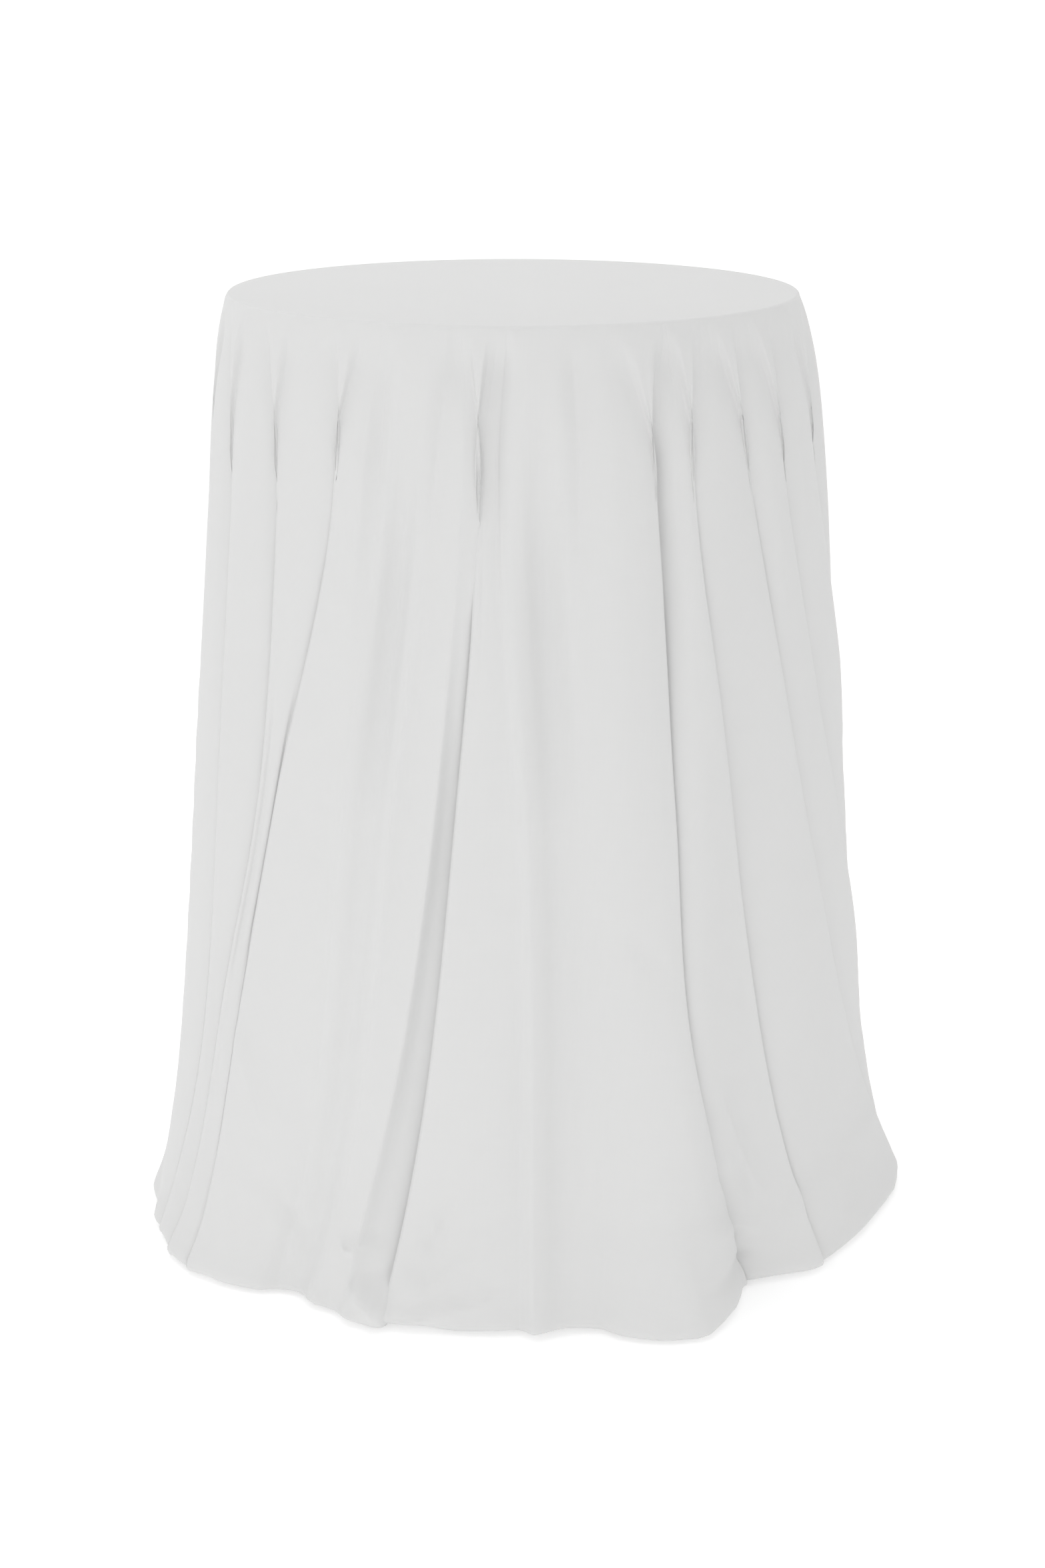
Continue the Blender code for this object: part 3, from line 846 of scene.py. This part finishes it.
    def core(self, azimuth: np.ndarray, height: np.ndarray) -> np.ndarray:
        """The smallest radius that a fold may reach, which is larger beside the arms of the base.

        Args:
            azimuth: Degrees from the front.
            height: Metres above the floor.

        Returns:
            The radius in metres.
        """
        arms = np.array(self.arm_azimuths)
        off = np.abs((azimuth[..., None] - arms + 180) % 360 - 180).min(axis=-1)
        beside = (1 - ease(off, 8, 22)) * (1 - ease(height, 0.07, 0.16))
        return self.core_radius + (self.arm_radius - self.core_radius) * beside

    def gap(self, fold: Fold, share: np.ndarray) -> np.ndarray:
        """A fold's mouth once it is deep: even over the upper half, then opening towards the floor."""
        half, floor = fold.mouth[1:]
        return half + (floor - half) * ease(share, 0.45, 1.0)

    def along_folds(self, share: np.ndarray) -> dict[str, np.ndarray]:
        """Every fold's azimuth, mouth and share of the spare cloth.

        Args:
            share: Shares of the fall.

        Returns:
            The three arrays by name, each levels by folds.
        """
        three = (0.0, 0.45, 1.0)
        return {
            "path": np.stack([smooth_through(share, self.stations, f.path) for f in self.folds], axis=1),
            "mouth": np.stack([self.gap(f, share) for f in self.folds], axis=1),
            "share": np.stack([np.interp(share, three, f.share) for f in self.folds], axis=1),
        }

    def shelf_share(self, share: np.ndarray) -> np.ndarray:
        """How much of a shelf shows: it starts a third of the way down and swells forward at the floor."""
        return ease(share, 0.15, 0.55) * (1 - ease(share, 0.90, 0.985)) - 0.7 * ease(share, 0.95, 1.0)

    def depths(self, share: np.ndarray, folds: dict[str, np.ndarray]) -> np.ndarray:
        """How deep each fold is: it takes up its share of the cloth that the perimeter leaves over.

        A mouth m whose walls meet at the inner end takes up 2 h of cloth at the depth sqrt(h^2 + m h).

        Args:
            share: Shares of the fall.
            folds: The folds' paths, mouths and shares there.

        Returns:
            The depths, levels by folds.
        """
        around = np.linspace(-180, 180, 361)[:-1]
        perimeter = 2 * np.pi * self.envelope(around[None], share[:, None]).mean(axis=1)
        along = share * self.fall
        spare = np.maximum(2 * np.pi * (self.rim_radius + along) - perimeter, 0)
        part = folds["share"] / folds["share"].sum(axis=1, keepdims=True)
        half = part * spare[:, None] / 2
        mouth = np.maximum(self.mouths(share[:, None], folds["mouth"]), 0)
        return np.sqrt(half**2 + mouth * half) * ease(along, 0.0, self.deepening)[:, None]

    def mouths(self, share: np.ndarray, deep_mouth: np.ndarray) -> np.ndarray:
        """Each fold's mouth: wide under the rim, closing to its deep mouth as the fold deepens."""
        rim_mouth = np.array([f.mouth[0] for f in self.folds])
        return deep_mouth + (rim_mouth - deep_mouth) * (1 - ease(share, -0.02, 0.13))

    def section(self, share: np.ndarray) -> Section:
        """What every fold does at each share of the fall.

        Args:
            share: Shares of the fall, from 0 to 1.

        Returns:
            The folds at those levels.
        """
        folds = self.along_folds(share)
        rise = share[:, None]
        path = folds["path"]
        cover = np.array([f.cover.value for f in self.folds])
        lean = np.radians([f.lean for f in self.folds]) * cover * ease(rise, 0.05, 0.35)
        radius = self.envelope(path, rise)
        height = self.top_height * (1 - rise)
        room = (radius - self.core(path, height)) / np.cos(lean)
        dip = np.array([f.dip for f in self.folds]) * ease(rise, 0.0, 0.20)
        return Section(
            rise=rise,
            path=path,
            radius=radius,
            mouth=self.mouths(rise, folds["mouth"]),
            depth=np.minimum(self.depths(share, folds), room),
            lean=lean,
            cover=cover,
            proud=np.array([f.lift for f in self.folds]) * ease(rise, 0.05, 0.5),
            dip=dip,
            shelf=np.array([f.shelf for f in self.folds]) * self.shelf_share(rise),
            sag=self.rim_sag * ease(rise, 0.0, 0.05) * (1 - ease(rise, 0.12, 0.5)) + 0 * dip,
        )

    def fold_points(self, at: Section) -> list[np.ndarray]:
        """Nine control points of each fold: two lips, two points on each wall, and a rounded inner end.

        Args:
            at: The folds at each level.

        Returns:
            The points from the left lip round to the right one, each levels by folds by 2.
        """
        deep = ease(at.depth, 0.008, 0.06)
        angle = np.radians(at.path)
        out = np.stack([np.sin(angle), -np.cos(angle)], axis=-1)
        across = np.stack([np.cos(angle), np.sin(angle)], axis=-1)
        cosine, sine = np.cos(at.lean)[..., None], np.sin(at.lean)[..., None]
        inward = -out * cosine + across * sine
        sideways = across * cosine + out * sine
        middle = at.radius[..., None] * out

        def inside(side: np.ndarray, far: np.ndarray) -> np.ndarray:
            """The point so far to the side of a fold's middle line, and so far in along it."""
            return middle + side[..., None] * sideways + far[..., None] * inward

        low = (at.dip + at.shelf) * np.stack([at.cover >= 0, at.cover <= 0])[:, None] + at.sag
        high = at.proud * np.stack([at.cover < 0, at.cover > 0])[:, None]
        half_mouth = (at.mouth / 2)[..., None]
        lip_left = middle - across * half_mouth + out * (high - low)[0][..., None]
        lip_right = middle + across * half_mouth + out * (high - low)[1][..., None]
        deep_wall = np.clip(0.12 * at.mouth + 0.005, 0.005, 0.015)
        half_wall = at.mouth * 0.28 * (1 - deep) + deep_wall * deep
        half_end = at.mouth * 0.15 * (1 - deep) + self.end_half * deep
        turn = self.end_turn * deep + 0.1 * at.depth * (1 - deep)
        wall_left = inside(-half_wall, 0.5 * at.depth)
        wall_right = inside(half_wall, 0.5 * at.depth)
        near = np.minimum(0.012, 0.20 * at.depth + 0.003)[..., None]
        to_left = wall_left - lip_left
        to_right = wall_right - lip_right
        in_left = lip_left + near * to_left / (np.linalg.norm(to_left, axis=-1, keepdims=True) + 1e-9)
        in_right = lip_right + near * to_right / (np.linalg.norm(to_right, axis=-1, keepdims=True) + 1e-9)
        return [
            lip_left, in_left, wall_left, inside(-half_end, at.depth - turn), inside(0 * at.depth, at.depth),
            inside(half_end, at.depth - turn), wall_right, in_right, lip_right,
        ]

    def panel_points(self, at: Section, lip_left: np.ndarray, lip_right: np.ndarray) -> list[np.ndarray]:
        """Five control points of each panel, from a fold's right lip to the next fold's left lip.

        A panel follows the envelope. It sinks in beside its folds' mouths as exp(-(distance / spread)^2),
        stands proud where it covers one, and steps back to a shelf where it is covered.

        Args:
            at: The folds at each level.
            lip_left: The folds' left lips.
            lip_right: The folds' right lips.

        Returns:
            The points from left to right, each levels by folds by 2.
        """
        start = azimuth_of(lip_right)
        width = (np.roll(azimuth_of(lip_left), -1, axis=1) - start) % 360
        span = np.maximum(np.radians(width) * at.radius, 0.02)
        start_high = at.proud * (at.cover > 0)
        start_dip, start_shelf = at.dip * (at.cover <= 0), at.shelf * (at.cover < 0)
        end_high = np.roll(at.proud * (at.cover < 0), -1, axis=1)
        end_dip = np.roll(at.dip * (at.cover >= 0), -1, axis=1)
        end_shelf = np.roll(at.shelf * (at.cover > 0), -1, axis=1)
        edge = np.clip(0.012 / span, 0.05, 0.3)
        steps = np.roll([f.shelf > 0 for f in self.folds], -1)
        brink = 0.68 - 0.24 * ease(at.rise, 0.4, 1.0)
        second = np.where(steps, brink - 0.12, 0.22)
        third = np.where(steps, brink - 0.04, 0.5)
        fourth = np.where(steps, brink + 0.03, 0.78)
        points = []
        for part in (edge, second, third, fourth, 1 - edge):
            azimuth = start + width * part
            from_start, from_end = part * span, (1 - part) * span
            level = self.envelope(azimuth, at.rise)
            level = level + start_high * (1 - ease(part, 0, 0.35)) + end_high * ease(part, 0.65, 1)
            level = level - start_dip * np.exp(-((from_start / self.dip_spread) ** 2))
            level = level - end_dip * np.exp(-((from_end / self.dip_spread) ** 2))
            sagging = np.exp(-((from_start / self.sag_spread) ** 2))
            level = level - at.sag * (sagging + np.exp(-((from_end / self.sag_spread) ** 2)))
            level = level - start_shelf * (1 - ease(part, 0.3, 0.5))
            level = level - end_shelf * ease(part, brink - 0.035, brink + 0.025)
            level = level + end_shelf * 0.2 * np.exp(-(((part - brink + 0.04) / 0.03) ** 2))
            points.append(polar(level, azimuth))
        return points

    def controls(self, share: np.ndarray) -> np.ndarray:
        """Control points of the section at each share of the fall: each fold's nine, then its panel's five.

        Args:
            share: Shares of the fall, from 0 to 1.

        Returns:
            Control points, levels by points by 2.
        """
        at = self.section(share)
        folds = self.fold_points(at)
        panels = self.panel_points(at, folds[0], folds[-1])
        return np.stack(folds + panels, axis=2).reshape(len(share), -1, 2)

    def levels(self) -> np.ndarray:
        """Distances along the cloth from the rim: close together at the rim and the floor.

        Returns:
            The distances in metres, from 0 to the drop.
        """
        pitch = [(0.0, 0.0045), (0.03, 0.011), (0.15, 0.026), (0.85, 0.028), (0.98, 0.016), (1.05, 0.0110),
                 (1.12, 0.013), (1.25, 0.020)]
        places, pitches = np.array(pitch).T
        found = [0.0]
        while found[-1] < self.drop:
            found.append(found[-1] + float(np.interp(found[-1], places, pitches)))
        return np.array(found) * self.drop / found[-1]

    def rolled(self, along: np.ndarray) -> tuple[np.ndarray, np.ndarray]:
        """Height, and distance in from the envelope: straight down, a quarter turn, then flat.

        Args:
            along: Distances from the rim.

        Returns:
            Heights, and distances inward.
        """
        bend = (self.top_height - self.roll) / self.slope
        angle = np.clip((along - bend) / self.roll, 0, np.pi / 2)
        flat = np.maximum(along - bend - self.roll * np.pi / 2, 0)
        height = np.where(along < bend, self.top_height - self.slope * along, self.roll * (1 - np.sin(angle)))
        return np.maximum(height, self.floor_lift), self.roll * (1 - np.cos(angle)) + flat

    def surface(self) -> tuple[np.ndarray, np.ndarray]:
        """Where the hanging part lies, and where the same points are on the flat cloth.

        Returns:
            Points in space and points on the flat cloth, levels by columns by 3 and by 2.
        """
        along = self.levels()
        height, inset = self.rolled(along)
        share = np.clip(along / self.fall, 0, 1)
        section = closed_spline(self.controls(share), self.samples)
        radius = np.linalg.norm(section, axis=-1)
        azimuth = azimuth_of(section)
        core = self.core(azimuth, height[:, None]) + 0.004
        soft = self.pull_soft
        pulled = core + soft * np.logaddexp(0, (radius - inset[:, None] - core) / soft)
        radius = np.where(inset[:, None] > 0, np.minimum(pulled, radius), radius)
        near_floor = np.exp(-height / 0.045)[:, None]
        places = np.stack(np.broadcast_arrays(azimuth % 360 / 4.5, along[:, None] / 0.05), axis=-1)
        fine = value_noise(places, 1.0, 11)
        radius = radius + near_floor * self.crumple * fine * np.where(inset[:, None] > self.roll, 0.3, 1.0)
        section = polar(radius, azimuth)
        step = np.linalg.norm(np.diff(section, axis=1, append=section[:, :1]), axis=-1)
        turned = np.cumsum(step, axis=1) - step
        turned = 360 * turned / step.sum(axis=1, keepdims=True)
        drift = (azimuth - turned + 180) % 360 - 180
        mean = np.degrees(np.angle(np.exp(1j * np.radians(drift)).mean(axis=1, keepdims=True)))
        flat = polar(self.rim_radius + along[:, None] + 0 * turned, turned + mean)
        heights = np.broadcast_to(height[:, None, None], (*section.shape[:2], 1))
        return np.concatenate([section, heights], axis=-1), flat

    def creased(self, space: np.ndarray) -> np.ndarray:
        """The drape with its creases pressed in: each moves the outer cloth along its radius.

        A crease's section is rise * exp(-(distance / width)^2), and it fades over both of its ends.

        Args:
            space: Points, any shape ending in 3.

        Returns:
            The moved points.
        """
        radius = np.linalg.norm(space[..., :2], axis=-1)
        azimuth = azimuth_of(space)
        share = np.clip(1 - space[..., 2] / self.top_height, 0, 1)
        outer = ease(radius, *(self.envelope(azimuth, share) - back for back in (0.045, 0.015)))
        moved = 0 * radius
        for crease in self.creases:
            start, end = np.array(crease.start), np.array(crease.end)
            scale = np.array([math.radians(1) * radius.max(), 1.0])
            line = (end - start) * scale
            turned = (azimuth - start[0] + 180) % 360 - 180
            from_start = np.stack([turned, space[..., 2] - start[1]], axis=-1) * scale
            part = from_start @ line / (line @ line)
            off = np.abs(from_start[..., 0] * line[1] - from_start[..., 1] * line[0]) / np.linalg.norm(line)
            fade = ease(part, -0.05, 0.15) * (1 - ease(part, 0.5, 1.0))
            moved = moved + crease.rise * fade * np.exp(-((off / crease.width) ** 2))
        finished = space.copy()
        finished[..., :2] *= (1 + outer * moved / np.maximum(radius, 0.05))[..., None]
        return finished


@dataclass
class Tablecloth:
    """The round cloth: its top, its rounded edge and its drape, settled by simulation."""

    drape: Drape
    finish: WovenFinish = WovenFinish("white_cloth")
    top_rings: tuple[float, ...] = (0.06, 0.12, 0.18, 0.24, 0.28, 0.297)
    frames: int = 16
    hold: tuple[float, float] = (1.0, 0.50)
    hold_fades: tuple[float, float] = (0.25, 0.50)
    stiffness: float = 12.0
    bending: float = 2.0
    weight: float = 0.15
    space: np.ndarray | None = None
    flat: np.ndarray | None = None

    def lay(self) -> None:
        """Works out the grid of points in space and on the flat cloth, from the centre to the edge."""
        drape = self.drape
        space, flat = drape.surface()
        azimuth = azimuth_of(space[0, :, :2])
        bend = drape.edge_round
        lip = drape.rim_radius - bend
        turn = np.array([0.0, 0.33, 0.67]) * math.pi / 2
        rings = np.append(self.top_rings, lip + bend * np.sin(turn))
        heights = np.append(0 * np.array(self.top_rings), bend * (np.cos(turn) - 1)) + drape.top_height
        ring = polar(rings[:, None] + 0 * azimuth, azimuth + 0 * rings[:, None])
        top = np.concatenate([ring, heights[:, None, None] + 0 * ring[..., :1]], axis=-1)
        space[..., 2] -= bend * np.exp(-drape.levels() / 0.02)[:, None]
        self.space = np.concatenate([top, space])
        self.flat = np.concatenate([ring, flat])
        log.info("cloth: laid out in %d rows of %d columns", *self.space.shape[:2])

    def mesh(self, name: str) -> bpy.types.Object:
        """A mesh object of the grid, closed at the centre by a small fan.

        Args:
            name: The object's name.

        Returns:
            The new object.
        """
        rows, columns = self.space.shape[:2]
        centre = np.array([[0.0, 0.0, self.drape.top_height]])
        first = np.arange(columns)
        fan = np.stack([0 * first, first + 1, (first + 1) % columns + 1], axis=1).tolist()
        faces = fan + (grid_quads(rows, columns) + 1).tolist()
        return add_piece(name, np.concatenate([centre, self.space.reshape(-1, 3)]), faces)

    def hold_group(self, piece: bpy.types.Object) -> str:
        """Groups the vertices by how firmly they are held: the top fully, the drop less and less.

        Args:
            piece: The mesh that will settle.

        Returns:
            The group's name.
        """
        columns = self.space.shape[1]
        group = piece.vertex_groups.new(name="held")
        along = self.drape.levels()
        top = len(self.space) - len(along)
        group.add(list(range((top + 1) * columns + 1)), 1.0, "REPLACE")
        near, far = self.hold
        for row, distance in enumerate(along[1:], top + 1):
            firmness = near + (far - near) * float(ease(distance, *self.hold_fades))
            start = 1 + row * columns
            group.add(list(range(start, start + columns)), firmness, "REPLACE")
        return group.name

    def settle(self) -> None:
        """Lets the cloth settle under its weight, held softly to its folds, and keeps its last place."""
        piece = self.mesh("settling_cloth")
        cloth = piece.modifiers.new("Cloth", "CLOTH")
        thread = cloth.settings
        thread.quality = 6
        thread.mass = self.weight
        thread.tension_stiffness = self.stiffness
        thread.compression_stiffness = self.stiffness * 2 / 3
        thread.shear_stiffness = self.stiffness / 3
        thread.bending_stiffness = self.bending
        thread.tension_damping = 8
        thread.compression_damping = 8
        thread.shear_damping = 8
        thread.bending_damping = 0.6
        thread.air_damping = 2
        thread.vertex_group_mass = self.hold_group(piece)
        thread.pin_stiffness = 1.0
        touch = cloth.collision_settings
        touch.use_collision = True
        touch.distance_min = 0.002
        touch.use_self_collision = True
        touch.self_distance_min = 0.0015
        touch.self_friction = 5
        touch.collision_quality = 2
        cloth.point_cache.frame_start = 1
        cloth.point_cache.frame_end = self.frames
        corners = np.array([[-1, -1, 0], [1, -1, 0], [1, 1, 0], [-1, 1, 0]], float)
        floor = add_piece("settling_floor", corners, [[0, 1, 2, 3]])
        floor.modifiers.new("Collision", "COLLISION")
        floor.collision.thickness_outer = 0.002
        scene = bpy.context.scene
        scene.frame_start, scene.frame_end = 1, self.frames
        for number in range(1, self.frames + 1):
            scene.frame_set(number)
        graph = bpy.context.evaluated_depsgraph_get()
        settled = piece.evaluated_get(graph).to_mesh()
        place = np.zeros(len(settled.vertices) * 3, np.float32)
        settled.vertices.foreach_get("co", place)
        piece.evaluated_get(graph).to_mesh_clear()
        self.space = place.reshape(-1, 3)[1:].reshape(self.space.shape).astype(float)
        bpy.data.objects.remove(piece)
        bpy.data.objects.remove(floor)
        scene.frame_set(1)
        log.info("cloth: settled for %d frames", self.frames)

    def refine(self) -> None:
        """Doubles the grid both ways, presses in the creases, and keeps the cloth off the floor."""
        for axis, closed in ((0, False), (1, True)):
            self.space = halfway(self.space, axis, closed)
            self.flat = halfway(self.flat, axis, closed)
        self.space = self.drape.creased(self.space)
        self.space[..., 2] = np.maximum(self.space[..., 2], self.drape.floor_lift)

    def build(self, effects: Effects) -> bpy.types.Object:
        """Builds the finished sheet, with its flat coordinates as its UV map.

        Args:
            effects: The shared node groups.

        Returns:
            The sheet.
        """
        piece = self.mesh("tablecloth_drape")
        laid = np.concatenate([[[0.0, 0.0]], self.flat.reshape(-1, 2)])
        corner = np.zeros(len(piece.data.loops), int)
        piece.data.loops.foreach_get("vertex_index", corner)
        uv = piece.data.uv_layers.new(name="flat_cloth")
        uv.data.foreach_set("uv", laid[corner].astype(np.float32).ravel())
        piece.data.materials.append(self.finish.build(effects))
        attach(piece, "cloth")
        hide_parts("tablecloth")
        log.info("tablecloth_drape: %d faces", len(piece.data.polygons))
        return piece

    def strip(self, inner: float) -> tuple[np.ndarray, np.ndarray]:
        """The points of the cloth on a circle of the flat cloth.

        Args:
            inner: The circle's radius on the flat cloth.

        Returns:
            The points in space and on the flat cloth, one for each column.
        """
        radii = np.linalg.norm(self.flat[:, 0], axis=-1)
        row = min(int(np.searchsorted(radii, inner)), len(radii) - 1)
        part = (inner - radii[row - 1]) / (radii[row] - radii[row - 1])
        space = self.space[row - 1] * (1 - part) + self.space[row] * part
        flat = self.flat[row - 1] * (1 - part) + self.flat[row] * part
        return space, flat


@dataclass
class Hem:
    """The double-folded band along the cloth's edge, sewn down near its inner fold."""

    width: float = 0.012
    thickness: float = 0.0012
    beyond: float = 0.0004
    finish: WovenFinish = WovenFinish("hem_cloth", stitch_rows=(0.0022,))

    def build(self, cloth: Tablecloth, effects: Effects) -> bpy.types.Object:
        """Builds the band as a flat closed tube round the cloth's edge.

        Args:
            cloth: The cloth that it is folded from.
            effects: The shared node groups.

        Returns:
            The band.
        """
        edge = cloth.drape.flat_radius
        inner, flat_inner = cloth.strip(edge - self.width)
        outer, flat_outer = cloth.strip(edge)
        way = outer - inner
        outer = outer + way * self.beyond / (np.linalg.norm(way, axis=1, keepdims=True) + 1e-6)
        across = np.array([0.0, 0.5, 1.0, 1.0, 0.5, 0.0])
        side = np.array([1, 1, 1, -1, -1, -1]) * self.thickness / 2
        ring = inner[:, None] * (1 - across[:, None]) + outer[:, None] * across[:, None]
        ring[..., 2] += side
        columns, points = ring.shape[:2]
        column, point = np.mgrid[0:columns, 0:points]
        beside, after = (column + 1) % columns, (point + 1) % points
        corners = [column * points + point, beside * points + point]
        corners += [beside * points + after, column * points + after]
        faces = np.stack(corners, axis=-1).reshape(-1, 4)
        piece = add_piece("cloth_hem_band", ring.reshape(-1, 3), faces.tolist())
        piece.data.set_sharp_from_angle(angle=math.radians(50))
        step = 2 * math.pi * edge / columns
        u = np.stack([column, column + 1, column + 1, column], axis=-1) * step
        v = np.stack([across[point], across[point], across[after], across[after]], axis=-1) * self.width
        seam = piece.data.uv_layers.new(name="seam")
        seam.data.foreach_set("uv", np.stack([u, v], axis=-1).astype(np.float32).ravel())
        laid = flat_inner[:, None] * (1 - across[:, None]) + flat_outer[:, None] * across[:, None]
        flat = piece.data.uv_layers.new(name="flat_cloth")
        flat.data.foreach_set("uv", laid.reshape(-1, 2)[faces.ravel()].astype(np.float32).ravel())
        piece.data.materials.append(self.finish.build(effects))
        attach(piece, "cloth")
        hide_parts("cloth_hem")
        log.info("cloth_hem_band: %d faces", len(piece.data.polygons))
        return piece


@dataclass(frozen=True)
class SoftLight:
    """A square area light, aimed at a point."""

    name: str
    power: float
    size: float
    place: tuple[float, float, float]
    aim: tuple[float, float, float] = (0.0, 0.0, 0.6)

    def build(self) -> bpy.types.Object:
        """Builds the light.

        Returns:
            The light's object, in place and aimed.
        """
        lamp = bpy.data.lights.new(self.name, "AREA")
        lamp.energy = self.power
        lamp.size = self.size
        made = bpy.data.objects.new(self.name, lamp)
        made.location = self.place
        made.rotation_euler = (Vector(self.aim) - Vector(self.place)).to_track_quat("-Z", "Y").to_euler()
        bpy.context.scene.collection.objects.link(made)
        return made


@dataclass
class Studio:
    """A white floor that sweeps up all round, soft lights, and the camera."""

    columns: int = 96
    inner_rings: tuple[float, float] = (2.0, 4.0)
    floor_radius: float = 6.0
    sweep_radius: float = 2.0
    wall_height: float = 5.0
    floor_glow: float = 0.30
    sky: float = 0.58
    lights: tuple[SoftLight, ...] = (
        SoftLight("key", 8, 2.0, (-1.2, -3.0, 0.9)),
        SoftLight("overhead", 32, 3.0, (-0.5, 0.3, 3.4), (-0.5, 0.3, 0.0)),
    )
    camera_place: tuple[float, float, float] = (0.0, -2.4, 1.343)
    camera_dip: float = 19.3
    lens: float = 50.27
    shift: float = 0.006

    def floor(self) -> bpy.types.Object:
        """The floor and the wall round it, as one turned profile.

        Returns:
            The floor.
        """
        turn = np.linspace(0, np.pi / 2, 13)
        ring = self.floor_radius + self.sweep_radius * np.sin(turn)
        ring = np.concatenate([self.inner_rings, ring, [ring[-1]]])
        rise = self.sweep_radius * (1 - np.cos(turn))
        rise = np.concatenate([[0.0, 0.0], rise, [self.wall_height]])
        around = np.arange(self.columns) * 360 / self.columns
        sweep = polar(ring[:, None] + 0 * around, around + 0 * ring[:, None])
        sweep = np.concatenate([sweep, rise[:, None, None] + 0 * sweep[..., :1]], axis=-1).reshape(-1, 3)
        faces = (grid_quads(len(ring), self.columns) + 1)[:, ::-1].tolist()
        faces += [[0, (k + 1) % self.columns + 1, k + 1] for k in range(self.columns)]
        made = add_piece("floor", np.concatenate([[[0, 0, 0]], sweep]), faces)
        paint, nodes, shader = start_material("studio_white")
        place = nodes.add("ShaderNodeTexCoord").outputs["Object"]
        tone = nodes.noise(place, 1.5)
        colour = nodes.blend(tone, (0.90, 0.90, 0.90, 1), (0.92, 0.92, 0.92, 1))
        nodes.tree.links.new(colour, shader.inputs["Base Color"])
        shader.inputs["Roughness"].default_value = 0.9
        shader.inputs["Emission Color"].default_value = (1, 1, 1, 1)
        shader.inputs["Emission Strength"].default_value = self.floor_glow
        made.data.materials.append(paint)
        return made

    def build(self) -> None:
        """Builds the floor, the sky, the lights and the camera."""
        scene = bpy.context.scene
        sky = bpy.data.worlds.new("studio_sky")
        sky.use_nodes = True
        sky.node_tree.nodes["Background"].inputs["Color"].default_value = (1, 1, 1, 1)
        sky.node_tree.nodes["Background"].inputs["Strength"].default_value = self.sky
        scene.world = sky
        self.floor()
        [light.build() for light in self.lights]
        camera = bpy.data.cameras.new("camera")
        camera.lens = self.lens
        camera.sensor_width = 36
        camera.shift_x = self.shift
        eye = bpy.data.objects.new("camera", camera)
        eye.location = self.camera_place
        eye.rotation_euler = (math.radians(90 - self.camera_dip), 0, 0)
        scene.collection.objects.link(eye)
        scene.camera = eye
        scene.view_settings.view_transform = "Standard"
        log.info("studio: floor, %d lights, camera", len(self.lights))


def main() -> None:
    """Builds every piece in order and reports it."""
    logging.basicConfig(level=logging.INFO, format="%(name)s: %(message)s")
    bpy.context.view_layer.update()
    effects = Effects()
    TableTop().finish(frame["nodes"], effects)
    Pedestal().finish(frame["nodes"], effects)
    Glides().finish(frame["nodes"], effects)
    top_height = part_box("tablecloth")[1].z - SHEET_BELOW_TOP
    cloth = Tablecloth(Drape(top_height=top_height, rim_radius=RIM_RADIUS))
    cloth.lay()
    cloth.settle()
    cloth.refine()
    sheet = cloth.build(effects)
    hem = Hem().build(cloth, effects)
    Studio().build()


if __name__ == "__main__":
    main()
